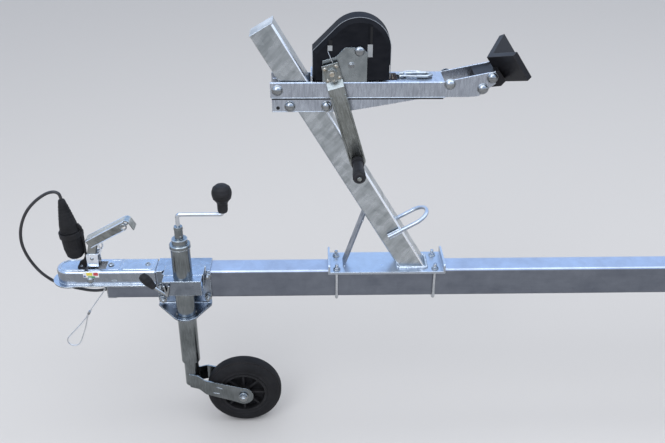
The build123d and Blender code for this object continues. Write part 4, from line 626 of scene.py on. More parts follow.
# The plug is moulded in dark grey plastic with grip ribs round its lower half and a ring where
# its cap screws on. Its holder is a black moulding that stands on the head's pad.
PLUG_RIBS = 22
RIB_LOW, RIB_OUT = 25, 24.7
plug_plastic = moulded("plug_plastic", (0.008, 0.008, 0.009), (0.018, 0.018, 0.020), (0.5, 0.68), 420)
dress(plug_plastic, "supply_plug")
dress(black_plastic, "plug_holder")
ribs = []
for index in range(PLUG_RIBS):
    angle = 2 * pi * index / PLUG_RIBS
    out = LEFT.cross(plug_way).normalized() * cos(angle) + LEFT * sin(angle)
    turn = Matrix((out, plug_way.cross(out), plug_way)).transposed()
    place = plug_foot + plug_way * (RIB_LOW / 1000) + out * (RIB_OUT / 1000)
    rib = block(1.6, 2.4, 30, 0.7, 2)
    rib.data.transform(Matrix.Translation(place) @ turn.to_4x4())
    ribs.append(rib)
complete(joined(ribs), "plug_grip_ribs", "frame", plug_plastic)
collar = spun([(23.4, 76), (24.9, 76.4), (25.1, 78.6), (23.6, 79.2), (22, 79.2), (22, 76)], 48)
settle(collar, plug_foot, plug_way)
complete(collar, "plug_collar", "frame", plug_plastic)
gland_rings = []
for along, radius in ((112, 18.6), (120, 17.0), (128, 15.4), (136, 13.8), (144, 12.2)):
    ring = spun([(radius - 1.2, -1.3), (radius + 0.5, -0.9), (radius + 0.5, 0.9), (radius - 1.2, 1.3)], 36)
    gland_rings.append(settle(ring, plug_foot + plug_way * (along / 1000), plug_way))
complete(joined(gland_rings), "plug_gland_rings", "frame", plug_plastic)
holder_screw = spun([(0, 0.6), (1.6, 0.6), (1.8, 1.8), (3.2, 1.5), (4, 0), (0, 0)], 20)
complete_zinc(repeated(holder_screw, [(at(80, left, 88), UP) for left in (-9.5, 9.5)]), "plug_holder_screws")


# The jockey wheel's bracket is welded from galvanised plate. Its clamp is closed by a black
# lever on a threaded fork, and two bolts and the lever's bolt go through the plates.
bracket_zinc = galvanised("bracket_zinc", (0.30, 0.34, 0.40), (0.56, 0.62, 0.70), 90, (1, 1, 3),
                          gloss=(0.2, 0.36), edge=2.0, crystal_share=0.25, side_shade_share=0.42)
dress(bracket_zinc, "jockey_bracket", "jockey_clamp")
WASHER_SHEET = 1.6
THREAD_DEPTH = 0.45
WELD_STEP = 0.42
FLATS_TO_RADIUS = 1.732


def hex_part(across, height, chamfer=0.9):
    """A hexagon head or nut with chamfered corners, standing on the origin; mm."""
    top = height / 1000
    bpy.ops.object.select_all(action="DESELECT")
    bpy.ops.mesh.primitive_cylinder_add(vertices=6, radius=across / FLATS_TO_RADIUS / 1000,
                                        depth=top, location=(0, 0, 0))
    piece = bpy.context.object
    open_mesh(piece, "EDGE")
    bpy.ops.mesh.select_all(action="SELECT")
    bpy.ops.transform.translate(value=(0, 0, top / 2))
    mesh = bmesh.from_edit_mesh(piece.data)
    for edge in mesh.edges:
        middle = (edge.verts[0].co.z + edge.verts[1].co.z) / 2
        edge.select_set(middle > top - 1e-5 or middle < 1e-5)
    bmesh.update_edit_mesh(piece.data)
    bpy.ops.mesh.bevel(offset=chamfer / 1000, segments=2, affect="EDGES")
    shut_mesh()
    return piece


def threaded_tip(radius, length, pitch=1.0, low=0.0):
    """The section of a bolt's threaded end, with a chamfer at its tip."""
    root = radius - THREAD_DEPTH
    section = [(0, low), (root, low)]
    height = low
    while height < length - pitch:
        section += [(radius, height + pitch / 2), (root, height + pitch)]
        height += pitch
    return section + [(root - THREAD_DEPTH, length), (0, length)]


def on_washer(across, height, washer, hole=0):
    """A hexagon head or nut on a washer; mm."""
    plate = spun([(hole, 0), (washer, 0), (washer, 1.3), (washer - 0.4, WASHER_SHEET),
                  (hole, WASHER_SHEET)], 28)
    head = hex_part(across, height)
    return joined([plate, settle(head, UP * (WASHER_SHEET / 1000))])


def nut_and_tip(across, height, washer, thread, tip):
    """A washer, a nut and the bolt's threaded end that stands out of it."""
    nut = on_washer(across, height, washer, thread)
    return joined([nut, spun(threaded_tip(thread, height + tip, low=height), 20)])


def weld(start, end, width):
    """A weld bead of overlapping scales along a line; its width is in mm."""
    way = end - start
    count = max(2, round(way.length / (width * WELD_STEP / 1000)))
    bpy.ops.object.select_all(action="DESELECT")
    bpy.ops.mesh.primitive_uv_sphere_add(segments=10, ring_count=6, radius=width / 2000)
    scale = bpy.context.object
    random.seed(round(way.length * 1e6))
    spots = []
    for index in range(count):
        jitter = Vector([random.uniform(-0.04, 0.04) * width / 1000 for axis in range(3)])
        spots.append((start + way * (index / (count - 1)) + jitter, way))
    return repeated(scale, spots)


weld_zinc = galvanised("weld_zinc", (0.50, 0.53, 0.56), (0.74, 0.78, 0.82), 160, gloss=(0.22, 0.4),
                       edge=0.6, side_shade_share=0.85)
bracket_nut_spots = [(at(back, 35, rise), LEFT)
                     for back, rise in ((404.6, 73), (402.5, 7), (283, 7), (283, 40))]
complete_zinc(repeated(nut_and_tip(15, 8, 10, 4.6, 9), bracket_nut_spots), "jockey_bracket_nuts")
complete_zinc(settle(nut_and_tip(13, 6, 9, 4.0, 6), at(302, 110, 50), LEFT), "jockey_clamp_nut")
bracket_welds = [weld(at(back, 36, 63), at(back, 36, 98), 5) for back in (300, 400)]
bracket_welds.append(weld(at(280, 36, -11), at(405, 36, -11), 5))
complete(joined(bracket_welds), "jockey_bracket_welds", "frame", weld_zinc)
dress(black_plastic, "jockey_clamp_lever")
fork_root = at(312.5, 115, 60)
lever_rods = [bar(at(313, 114.2, 64), at(283, 114.2, 88.5), 4.5)]
lever_rods += [bar(fork_root, at(back, 115, 93), 2.9) for back in (306.5, 319.5)]
complete_zinc(joined(lever_rods), "jockey_clamp_lever_fork")


# The jockey wheel's tubes are drawn and zinc plated, with a rolled cap and a pinned neck. The
# crank is bent from round bar and carries a black moulded knob.
tube_zinc = zinc_plate("tube_zinc", (0.18, 0.20, 0.20), (0.42, 0.45, 0.46), stretch=(9, 9, 0.6), edge=1.5,
                       gloss=(0.16, 0.3), depth=0.04, side_shade_share=0.55)
dress(tube_zinc, "jockey_outer_tube", "jockey_fork")
rod_zinc = zinc_plate("rod_zinc", (0.44, 0.46, 0.48), (0.60, 0.62, 0.65), gloss=(0.2, 0.3), depth=0.012)
dress(rod_zinc, "jockey_crank")
nylon = moulded("nylon", (0.60, 0.59, 0.55), (0.74, 0.73, 0.69), (0.35, 0.5))
dress(nylon, "jockey_spindle_nut")
dress(black_plastic, "jockey_knob", "jockey_rim")
JOCKEY_BACK, JOCKEY_LEFT = 350.0, 80.0
NECK_RADIUS = 0.0108
KNOB_BACK, KNOB_BASE = JOCKEY_BACK + 111, 281.3
roll_pin = spun([(0, -0.8), (0.9, -0.8), (0.9, 0.8), (1.9, 0.8), (2.2, 0.4), (2.2, -1), (0, -1)], 18)
pin_way = Vector((-cos(radians(60)), sin(radians(60)), 0))
settle(roll_pin, at(JOCKEY_BACK, JOCKEY_LEFT, 218) + pin_way * NECK_RADIUS, pin_way)
complete_zinc(roll_pin, "jockey_neck_pin", "jockey_tube")
neck_ring = spun([(17, -0.9), (19.6, -0.5), (19.6, 0.5), (17, 0.9)], 40)
cap_ring = spun([(23, -1.2), (26.5, -0.7), (26.5, 0.7), (23, 1.2)], 44)
settle(neck_ring, at(JOCKEY_BACK, JOCKEY_LEFT, 207.5))
settle(cap_ring, at(JOCKEY_BACK, JOCKEY_LEFT, 184.6))
complete_zinc(joined([neck_ring, cap_ring]), "jockey_cap_rings", "jockey_tube")
knob_ring = spun([(23.4, 49), (24.35, 49.6), (24.35, 51.4), (23.4, 52)], 48)
settle(knob_ring, at(KNOB_BACK, JOCKEY_LEFT, KNOB_BASE))
complete(knob_ring, "jockey_knob_parting_line", "jockey_tube", black_plastic)


# The jockey wheel's solid tyre has a flat tread between two shoulder grooves. It is pressed
# onto the ribbed rim, and its axle bolt has a nut and a washer at each arm of the fork.
def rubber(name, dark, light, roughness=(0.62, 0.85), dust=(0.10, 0.09, 0.085), edge=1.5):
    """Moulded rubber: a matt skin, faint scuffs and grey dust along its edges."""
    finish = new_finish(name, dark, 0.75, more={"IOR": 1.3})
    scuff = blend_patterns(finish, grain(finish, 18, detail=5), grain(finish, 120, detail=3), 0.4)
    paint(finish, scuff, (0.38, dark), (0.66, light))
    edge_wear_and_highlight(finish, dust, edge, 0.5)
    polish(finish, scuff, *roughness)
    relief(finish, grain(finish, 700, detail=3), 0.14, edge)
    return finish


jockey_rubber = rubber("jockey_rubber", (0.007, 0.007, 0.008), (0.016, 0.016, 0.018))
FLOOR_RISE = -362.0
JOCKEY_WHEEL_BACK, JOCKEY_WHEEL_RISE = 487.0, FLOOR_RISE + 100.0
FORK_HALF = 37.6
half_profile = [(62, 22), (68, 25), (72, 23.8), (76, 25), (80, 25), (88, 23), (92, 20), (94.5, 17.5),
                (94.5, 15), (97.6, 14.2), (99.3, 10), (100, 6)]
jockey_tyre = spun([(radius, -left) for radius, left in half_profile] + half_profile[::-1], 72)
settle(jockey_tyre, at(JOCKEY_WHEEL_BACK, JOCKEY_LEFT, JOCKEY_WHEEL_RISE), LEFT)
complete(jockey_tyre, "jockey_wheel_tyre", "jockey_wheel", jockey_rubber, 25)
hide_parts("jockey_tyre")
axle_nut_spots = [(at(JOCKEY_WHEEL_BACK, JOCKEY_LEFT + FORK_HALF, JOCKEY_WHEEL_RISE), LEFT),
                  (at(JOCKEY_WHEEL_BACK, JOCKEY_LEFT - FORK_HALF, JOCKEY_WHEEL_RISE), RIGHT)]
complete_zinc(repeated(nut_and_tip(19, 8, 12.5, 5.8, 5), axle_nut_spots), "jockey_axle_nuts", "jockey_fork")
fork_marks = [bar(at(416.2, 115, -229.9), at(432.1, 115, -236.4), 1.1),
              bar(at(407.3, 115, -249.3), at(423.5, 115, -252.5), 1.1)]
complete_zinc(joined(fork_marks), "jockey_fork_marks", "jockey_fork")


# The winch post is a square tube, galvanised after it was cut: zinc ran off it aslant and left
# broad pale streaks. Weld beads join it to the base plate, and the brace and the loop to it.
POST_FOOT, POST_LEAN = 932.0, radians(30.5)
FOOT_FRONT = POST_FOOT - 30.0 / cos(POST_LEAN)
FOOT_REAR = POST_FOOT + 30.0 / cos(POST_LEAN)
BASE_TOP = 86
post_zinc = galvanised("post_zinc", (0.36, 0.39, 0.40), (0.68, 0.72, 0.75), 66, (1.2, 1.2, 7),
                       (0, radians(-48), 0), 0.6, (0.2, 0.38), 2.5, 0.3, 0.75, 0.06)


def paint_corner_highlight(finish, first, second, colour):
    """Painted highlight: lays a colour over the rounded corner between two faces, where it would catch the
    light.
    """
    size = add_node(finish, "Math", operation="ABSOLUTE")
    both = add_node(finish, "Math", operation="MULTIPLY")
    mask = add_node(finish, "MapRange", {"From Min": 0.15, "From Max": 0.3})
    connect(finish, facing(finish, first), size.inputs[0])
    connect(finish, size.outputs["Value"], both.inputs[0])
    connect(finish, facing(finish, second), both.inputs[1])
    connect(finish, both.outputs["Value"], mask.inputs["Value"])
    lay_over(finish, mask.outputs["Result"], colour)


# painted highlight: the corners between the post's rear face and its sides are laid over in white
paint_corner_highlight(post_zinc, (0, 1, 0), (-cos(POST_LEAN), 0, sin(POST_LEAN)), (1.0, 1.0, 1.0))
dress(post_zinc, "winch_post")
base_zinc = galvanised("base_zinc", (0.54, 0.58, 0.64), (0.64, 0.69, 0.76), 100, streak_share=0.2,
                       gloss=(0.24, 0.36), edge=2.0, crystal_share=0.15, depth=0.06)
dress(base_zinc, "post_base", "tie_down_loop")
brace_zinc = galvanised("brace_zinc", (0.20, 0.23, 0.28), (0.36, 0.40, 0.47), 80, edge=2.0, side_shade_share=0.7)
dress(brace_zinc, "post_brace")


def on_post(front, left, along):
    """A point on the leaning post: in front of its axis, left of it and along it from its foot."""
    return at(POST_FOOT - front * cos(POST_LEAN) - along * sin(POST_LEAN), left,
              BASE_TOP - front * sin(POST_LEAN) + along * cos(POST_LEAN))


post_welds = [weld(at(FOOT_FRONT + 3, left, BASE_TOP + 2), at(FOOT_REAR - 3, left, BASE_TOP + 2), 9)
              for left in (31.5, -31.5)]
post_welds += [weld(at(back, -28, BASE_TOP + 2), at(back, 28, BASE_TOP + 2), 8)
               for back in (FOOT_FRONT - 2, FOOT_REAR + 2)]
for back, rise in ((757, 87), (802, 220)):
    post_welds += [weld(at(back, left, rise), at(back, left * 0.4, rise), 6) for left in (18, -18)]
for along in (121, 109):
    post_welds += [weld(on_post(-25, left, along), on_post(6, left, along), 6) for left in (35, -35)]
complete(joined(post_welds), "winch_post_welds", "frame", weld_zinc)


# U-bolts of zinc-plated bar clamp the post's base, the axle and the cross member to the beam.
# Each leg ends in a thread, with a washer under its nut.
dress(rod_zinc, "u_bolts")
LEG_HALF = 34
CROSS_BACK, CROSS_SEAT = 4420.0, -55.0
AXLE_X, AXLE_Z, AXLE_SEAT = -0.8985, 0.326, -6
SWING_ARM = 0.130
TYRE_RADIUS = 289.0
swing_drop = AXLE_Z - TYRE_RADIUS / 1000
axle_back = (NOSE_X - AXLE_X - sqrt(SWING_ARM ** 2 - swing_drop ** 2)) * 1000
leg_spots = []
# columns: the bolt's place behind the nose, the rise of its washers, the way of its threads
for back, rise, way in ((737, BASE_TOP, UP), (990, BASE_TOP, UP),
                        (axle_back - 48, AXLE_SEAT, DOWN), (axle_back + 48, AXLE_SEAT, DOWN),
                        (CROSS_BACK - 31, CROSS_SEAT, DOWN), (CROSS_BACK + 31, CROSS_SEAT, DOWN)):
    leg_spots += [(at(back, left, rise), way) for left in (LEG_HALF, -LEG_HALF)]
washer = spun([(4.0, 0), (9.5, 0), (9.5, 1.2), (9.0, 1.5), (4.0, 1.5)], 28)
complete_zinc(repeated(washer, leg_spots), "u_bolt_washers")
thread = spun([(3.6, 6.3)] + threaded_tip(4.35, 15, 1.0, 6.3)[1:-1] + [(3.6, 15)], 20)
complete_zinc(repeated(thread, leg_spots), "u_bolt_threads")


# The winch arm is an inverted channel bolted to the post, with a plate under each side. Zinc ran
# down its sides in fine upright streaks. Domed bolts show at the left, their nuts at the right.
ARM_HALF, PLATE_HALF = 38, 34
arm_zinc = galvanised("arm_zinc", (0.42, 0.45, 0.51), (0.66, 0.71, 0.79), 90, (24, 5, 3.2), (0, 0, 0),
                      0.68, (0.2, 0.36), 2.0, 0.25, 0.72, 0.04)
dress(arm_zinc, "winch_arm", "winch_arm_bracket")
# painted shadow: near-black strips under the arm's lips and discs at the plates' corners stand in for shade
painted_shadow = speckled("painted_shadow", (0.004, 0.004, 0.005), (0.010, 0.010, 0.011), (0.85, 1.0), (200, 200))
lips, shadow_pieces = [], []
for side_sign in (1, -1):
    arm_lip, plate_lip = side_sign * (ARM_HALF - 0.2), side_sign * PLATE_HALF
    lips.append(bar(at(584, arm_lip, 552.6), at(985, arm_lip, 552.6), 1.2))
    lips.append(bar(at(586, plate_lip, 518.0), at(728, plate_lip, 518.0), 1.0))
    shadow_strip = block(396, 0.5, 4.2, 0.15, 1)
    shadow_pieces.append(settle(shadow_strip, at(783, side_sign * (PLATE_HALF + 0.1), 547.0)))
    hole_shadow = spun([(0, 0), (4.2, 0), (4.2, 0.4), (0, 0.4)], 24)
    shadow_pieces.append(settle(hole_shadow, at(599, plate_lip, 527), LEFT * side_sign))
complete(joined(lips), "arm_lips", "frame", weld_zinc)
complete(joined(shadow_pieces), "arm_joint_shadows", "frame", painted_shadow)
# columns: behind the nose, rise, half the width of the plates that the bolt goes through
ARM_BOLTS = [(598.5, 571, ARM_HALF), (626.5, 531, PLATE_HALF), (711.5, 531, PLATE_HALF),
             (993.5, 584, ARM_HALF), (1089.5, 599, ARM_HALF), (1069.5, 573, ARM_HALF)]
dome = spun(dome_section(11.8, 8.0, 13.2), 36)
head_spots = [(at(back, half, rise), LEFT) for back, rise, half in ARM_BOLTS]
nut_spots = [(at(back, -half, rise), RIGHT) for back, rise, half in ARM_BOLTS]
complete_zinc(repeated(dome, head_spots), "arm_bolts")
complete_zinc(repeated(nut_and_tip(17, 9, 12.5, 5.0, 5), nut_spots), "arm_nuts")


# The bow stop is a moulded rubber block, black and slightly glossy where boats have rubbed it. The
# axle's springs are of the same rubber.
stop_rubber = rubber("stop_rubber", (0.007, 0.007, 0.009), (0.017, 0.017, 0.020), (0.28, 0.5))
dress(stop_rubber, "bow_stop", "axle_rubber")


# The winch's hood is moulded in charcoal plastic with bevelled rims. Two windows of pale plastic
# sit in its slots, and domed bolts and a star washer hold the zinc-plated frame beside it.
hood_plastic = moulded("hood_plastic", (0.007, 0.008, 0.011), (0.013, 0.014, 0.018), (0.5, 0.62), 600,
                       1.4, 0.06, 1.16)
dress(hood_plastic, "winch_cover")
frame_zinc = zinc_plate("frame_zinc", (0.30, 0.33, 0.34), (0.48, 0.52, 0.53), stretch=(1, 1, 1),
                        gloss=(0.2, 0.34), depth=0.02, side_shade_share=0.68)
dress(frame_zinc, "winch_frame")
dress(bright_zinc, "winch_drum")
window_plastic = moulded("window_plastic", (0.26, 0.28, 0.30), (0.36, 0.38, 0.40), (0.35, 0.5))


def hood_panes(name, sheet, bevel, left, finish, places):
    """Thin panes on the hood's left side; a place is back, low edge, width and height in mm."""
    panes = [settle(block(width, sheet, height, bevel, 1), at(back, left, low))
             for back, low, width, height in places]
    complete(joined(panes), name, "frame", finish)


hood_panes("winch_cover_windows", 1.4, 0.3, 32.9, window_plastic,
           [(719.0, 662, 10.5, 12), (809.0, 647, 11.5, 29)])
# painted shadow: near-black panes stand in for the shade inside the hood's slots
hood_panes("winch_cover_slot_shadows", 0.5, 0.1, 32.95, painted_shadow,
           [(720.0, 674.5, 8.5, 12), (811.5, 676.5, 5.5, 40)])
DRUM_BACK, DRUM_RISE = 785.0, 663.0
RIM_RADIUS = 71.65
HOOD_FRONT, HOOD_LOW = 680, 596
slope_top = DRUM_RISE + 2 * RIM_RADIUS * sin(radians(45)) - (DRUM_BACK - HOOD_FRONT)
rim_path = [(HOOD_FRONT, HOOD_LOW), (HOOD_FRONT, slope_top)]
for angle in range(135, -1, -5):
    rim_path.append((DRUM_BACK + RIM_RADIUS * cos(radians(angle)),
                     DRUM_RISE + RIM_RADIUS * sin(radians(angle))))
rim_path.append((DRUM_BACK + RIM_RADIUS, HOOD_LOW))
# painted highlight: thin grey-blue beads along the hood's bevelled rims stand in for their bright edges
rim_highlight_grey = moulded("rim_highlight_grey", (0.16, 0.18, 0.21), (0.30, 0.33, 0.37), (0.25, 0.4))
rims = [bead([at(back, left, rise) for back, rise in rim_path], 0.8) for left in (23.4, -23.4)]
complete(joined(rims), "winch_cover_rim_highlights", "frame", rim_highlight_grey)
shaft_dome = spun(dome_section(10.5, 5.0, 11.0, 0.8), 32)
complete_zinc(repeated(shaft_dome, either_side(DRUM_BACK, 42.2, DRUM_RISE)), "winch_shaft_heads")
star = spun([(3.0, 0), (7.6, 0), (7.6, 0.7), (6.6, 1.2), (4.6, 0.9), (3.6, 2.4), (0, 2.6), (0, 0)], 16)
complete_zinc(repeated(star, either_side(767.5, 36.2, 629)), "winch_pawl_pins")
pawl_spring = smooth_line("winch_pawl_spring", [at(714, 44, 664), at(717.6, 46, 656), at(722, 47, 645),
                                               at(726, 46, 636), at(730, 40, 631)], 0.8)
fit(pawl_spring, "frame", strand_steel)


# The crank is a joggled flat arm with ridges pressed along its edges and a square-set head under
# a nut. Its grip is black plastic with rings at both ends.
CRANK_LEAN = radians(16)
CRANK_TURN = Matrix.Translation(at(723, 0, 616)) @ Matrix.Rotation(CRANK_LEAN, 4, "Y")
CRANK_FACE = 0.0493
crank_zinc = zinc_plate("crank_zinc", (0.20, 0.21, 0.19), (0.42, 0.44, 0.43), (0, -CRANK_LEAN, 0),
                        (5, 5, 0.8), 1.5, (0.2, 0.34), 0.03, 0.72)
dress(crank_zinc, "winch_crank")
dress(black_plastic, "winch_grip")


def on_crank(pieces, name, finish):
    """Puts pieces made with the crank's arm hanging straight down on the crank."""
    piece = joined(pieces)
    piece.data.transform(CRANK_TURN)
    complete(piece, name, "winch_crank", finish)


ridges = []
for across in (-16.2, 16.2):
    ridge = spun([(0, 0), (1.9, 1.5), (2.3, 4), (2.3, 158), (1.9, 160.5), (0, 162)], 16)
    ridges.append(settle(ridge, Vector((across / 1000, 0.0634, -0.212))))
on_crank(ridges, "crank_ridges", crank_zinc)
bosses = []
for across, down, radius in ((-13, 12, 3.6), (13, 12, 3.6), (-13, -15, 3.2), (13, -15, 3.2), (0, -18.5, 2.6)):
    boss = spun(dome_section(radius, 1.6, radius + 0.8, 0.5), 20)
    bosses.append(settle(boss, Vector((across / 1000, CRANK_FACE, down / 1000)), LEFT))
spindle_end = spun(threaded_tip(6.0, 13, 1.25, 8.8), 24)
bosses.append(settle(spindle_end, Vector((0, CRANK_FACE, 0)), LEFT))
warm_zinc = zinc_plate("warm_zinc", (0.26, 0.21, 0.15), (0.60, 0.56, 0.48))
on_crank(bosses, "crank_head_bosses", warm_zinc)
grip_rings = []
for left in (71, 77, 83, 137, 145, 153):
    ring = spun([(13.2, -1.4), (15.0, -0.8), (15.0, 0.8), (13.2, 1.4)], 32)
    grip_rings.append(settle(ring, Vector((0, left / 1000, -0.220)), LEFT))
on_crank(grip_rings, "winch_grip_rings", black_plastic)


# The strap is woven polyester, folded and stitched round the hook's eye. The hook is bent from
# round bar, with a wire gate and a loose wire ring beside it on the arm.
def pick_faces(test):
    """Picks the open piece's faces by their middle and their normal."""
    mesh = bmesh.from_edit_mesh(bpy.context.object.data)
    for face in mesh.faces:
        face.select_set(bool(test(face.calc_center_median(), face.normal)))
    bmesh.update_edit_mesh(bpy.context.object.data)


ARM_TOP = 590.0
webbing = new_finish("strap_webbing", (0.034, 0.016, 0.015), 0.85)
rows = pattern(webbing, "TexWave", "Fac", {"Scale": 260.0, "Distortion": 1.2, "Detail": 2.0},
               bands_direction="Y")
paint(webbing, blend_patterns(webbing, rows, grain(webbing, 60), 0.4),
      (0.35, (0.014, 0.008, 0.008)), (0.7, (0.034, 0.016, 0.015)))
polish(webbing, grain(webbing, 200), 0.75, 0.95)
relief(webbing, rows, 0.3)
strap = block(34, 44, 1.4, 0.5, 2)
open_mesh(strap)
pick_faces(lambda middle, normal: normal.x < -0.9)
bpy.ops.mesh.extrude_region_move(TRANSFORM_OT_translate={"value": (-0.006, 0, 0.0006)})
bpy.ops.transform.resize(value=(1, 0.42, 1.25), center_override=(0, 0, 0.0014))
shut_mesh()
settle(strap, at(857, 0, ARM_TOP + 0.1))
complete(strap, "winch_strap_end", "frame", webbing)
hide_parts("winch_strap")
stitch_spots = [(at(850 + row * 7, -18 + 3.6 * index, ARM_TOP + 1.5), UP)
                for row in range(3) for index in range(11)]
thread_white = moulded("stitch_thread", (0.30, 0.28, 0.25), (0.42, 0.40, 0.36), (0.6, 0.8))
stitches = repeated(block(2.6, 0.7, 0.6, 0.25, 1), stitch_spots)
complete(stitches, "winch_strap_stitches", "frame", thread_white)
dress(bright_zinc, "snap_hook")
ring_path = [at(913 + 24 * cos(radians(angle)), -25 + 9 * sin(radians(angle)), ARM_TOP + 1.6)
             for angle in range(0, 361, 30)]
fit(smooth_line("hook_wire_ring", ring_path, 1.5), "frame", strand_steel)


# The axle is a galvanised square tube with trailing arms sprung in rubber. Each hub is a machined
# casting with four wheel nuts and a grease cap with a pressed rim.
SIDES = (("left", 1), ("right", -1))
WHEEL_BACK, WHEEL_RISE = 3550.0, FLOOR_RISE + TYRE_RADIUS
HUB_FACE = 850.0
STUDS, STUD_CIRCLE = 4, 50
axle_zinc = galvanised("axle_zinc", (0.40, 0.42, 0.45), (0.60, 0.63, 0.67), 65, (1, 4, 1), crystal_share=0.3)
dress(axle_zinc, "axle", "swing_arms", "mudguard_stays")
casting = new_finish("hub_casting", (0.20, 0.20, 0.21), 0.5, 0.8)
paint(casting, grain(casting, 120, detail=5), (0.35, (0.13, 0.13, 0.14)), (0.65, (0.30, 0.30, 0.31)))
edge_wear_and_highlight(casting, (0.42, 0.42, 0.43), 1.0)
polish(casting, grain(casting, 90), 0.4, 0.62)
relief(casting, grain(casting, 500), 0.2, 1.0)
dress(casting, "hub_left", "hub_right")


def round_wheel(radius, angle, left):
    """A point beside a road wheel: out from its axle at an angle in degrees from the front."""
    return at(WHEEL_BACK - radius * cos(radians(angle)), left, WHEEL_RISE + radius * sin(radians(angle)))


for side_name, side_sign in SIDES:
    way = LEFT * side_sign
    ring = spun([(25, 0), (29.5, 0), (29.8, 1.2), (28.6, 2.4), (27.4, 2.4), (27, 4), (25, 4)], 48)
    trim = [settle(ring, round_wheel(0, 0, side_sign * (HUB_FACE + 5)), way)]
    for turn in range(STUDS):
        angle = 45 + 360 / STUDS * turn
        seat = spun([(6, 0), (11.5, 0), (10.6, 2.6), (6, 2.6)], 28)
        tip = spun(threaded_tip(6.2, 20.5, 1.5, 16), 20)
        trim.append(settle(seat, round_wheel(STUD_CIRCLE, angle, side_sign * (HUB_FACE + 4.6)), way))
        trim.append(settle(tip, round_wheel(STUD_CIRCLE, angle, side_sign * HUB_FACE), way))
    complete_zinc(joined(trim), "hub_trim_" + side_name, "wheel_" + side_name)


# The wheels are pressed steel, painted silver. The road tyres have four rain grooves, cut
# shoulder blocks and rings moulded into their sidewalls; a rubber valve comes through each rim.
silver = new_finish("silver_paint", (0.50, 0.51, 0.52), 0.35, 0.75)
flakes = blend_patterns(silver, grain(silver, 900), grain(silver, 20, detail=4), 0.5)
paint(silver, flakes, (0.36, (0.42, 0.43, 0.44)), (0.64, (0.60, 0.61, 0.62)))
edge_wear_and_highlight(silver, (0.66, 0.67, 0.68), 1.5, 0.6)
polish(silver, flakes, 0.28, 0.42)
relief(silver, grain(silver, 500), 0.05, 1.5)
dress(silver, "wheel_left", "wheel_right")
road_rubber = rubber("road_rubber", (0.016, 0.016, 0.017), (0.034, 0.034, 0.035), (0.6, 0.82))
TREAD_STEPS = 120
TYRE_MIDDLE = 820
# half of the section, from the bead to the tread's middle: radius, distance from the middle
half_section = [(165, 57), (179, 59), (183, 66), (190, 71), (193, 70.3), (196, 73.6), (205, 77.0),
                (214, 78.5), (217, 77.7), (221, 78.5), (238, 78.3), (262, 76.2), (275, 72.0),
                (282.5, 65.5), (286, 58), (287.4, 50), (288, 44), (288.6, 32), (288.8, 27), (289, 9),
                (289, 4.5)]
inner_half = [(165, 48), (181, 48), (201, 65.5), (227, 69.5), (261, 67.5), (272, 54.5), (276, 30)]
outside = half_section + [(radius, -across) for radius, across in half_section[::-1]]
inside = [(radius, -across) for radius, across in inner_half] + inner_half[::-1]
master = spun(outside + inside, TREAD_STEPS)


def cut_tread(radius, low, high, depth, every=1, far_shift=0):
    """Cuts the tread outside a radius, between two distances from its middle, in mm: all round,
    or in one step of every few, with the far half's cuts some steps further round."""
    def is_cut(middle, normal):
        step = int(atan2(middle.y, middle.x) % (2 * pi) * TREAD_STEPS / (2 * pi))
        shift = 0 if middle.z > 0 else far_shift
        return (hypot(middle.x, middle.y) > radius / 1000 and low < abs(middle.z) * 1000 < high
                and step % every == shift)

    pick_faces(is_cut)
    bpy.ops.mesh.extrude_region_shrink_fatten(
        TRANSFORM_OT_shrink_fatten={"value": -depth / 1000, "use_even_offset": True})


open_mesh(master)
cut_tread(284.5, 27.5, 31.5, 7)
cut_tread(284.5, 4.6, 8.9, 7)
cut_tread(279, 44, 66, 5, every=4, far_shift=2)
cut_tread(285, 9, 27, 4, every=5, far_shift=3)
shut_mesh()
for side_name, side_sign in SIDES:
    way = LEFT * side_sign
    centre = round_wheel(0, 0, side_sign * TYRE_MIDDLE)
    tyre = bpy.data.objects.new("road_tyre", master.data.copy())
    bpy.context.collection.objects.link(tyre)
    complete(settle(tyre, centre, way), "road_tyre_" + side_name, "wheel_" + side_name,
             road_rubber, 30)
    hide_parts("tyre_" + side_name)
    valve = spun([(0, 0), (5.5, 0), (5, 4), (3.6, 9), (3.4, 24), (4.2, 24.5), (4.2, 31), (3.4, 32),
                  (0, 32)], 20)
    out = Vector((cos(radians(99)), 0, sin(radians(99))))
    settle(valve, centre + out * 0.140 + way * 0.018, way - out * 0.35)
    complete(valve, "tyre_valve_" + side_name, "wheel_" + side_name, black_plastic)
bpy.data.objects.remove(master)


# The mudguards are black plastic with a thick rolled edge and two stiffening beads. Four bolts
# hold each one's inner skirt to its stay.
guard_plastic = moulded("guard_plastic", (0.018, 0.018, 0.020), (0.036, 0.036, 0.040), (0.4, 0.6), 350,
                        2.0, 0.2)
dress(guard_plastic, "mudguard_left", "mudguard_right")
# columns: distance from the middle, radius about the axle, the bead's own, its reach from the top
GUARD_BEADS = [(926.3, 325, 3.2, 83.5), (862, 347.2, 3.4, 80), (802, 347.2, 3.4, 80), (735.5, 290, 3.2, 83.5)]
BEAD_STEPS = 56
SKIRT_LEFT, BOLT_CIRCLE = 737, 308
for side_name, side_sign in SIDES:
    beads = []
    for across, radius, thickness, reach in GUARD_BEADS:
        path = [round_wheel(radius, 90 + reach - 2 * reach * index / BEAD_STEPS, side_sign * across)
                for index in range(BEAD_STEPS + 1)]
        beads.append(bead(path, thickness))
    complete(joined(beads), "mudguard_beads_" + side_name, "frame", guard_plastic)
    spots = [(round_wheel(BOLT_CIRCLE, angle, side_sign * SKIRT_LEFT), LEFT * side_sign)
             for angle in (58, 76, 94, 109)]
    complete_zinc(repeated(on_washer(13, 5, 11), spots), "mudguard_bolts_" + side_name)


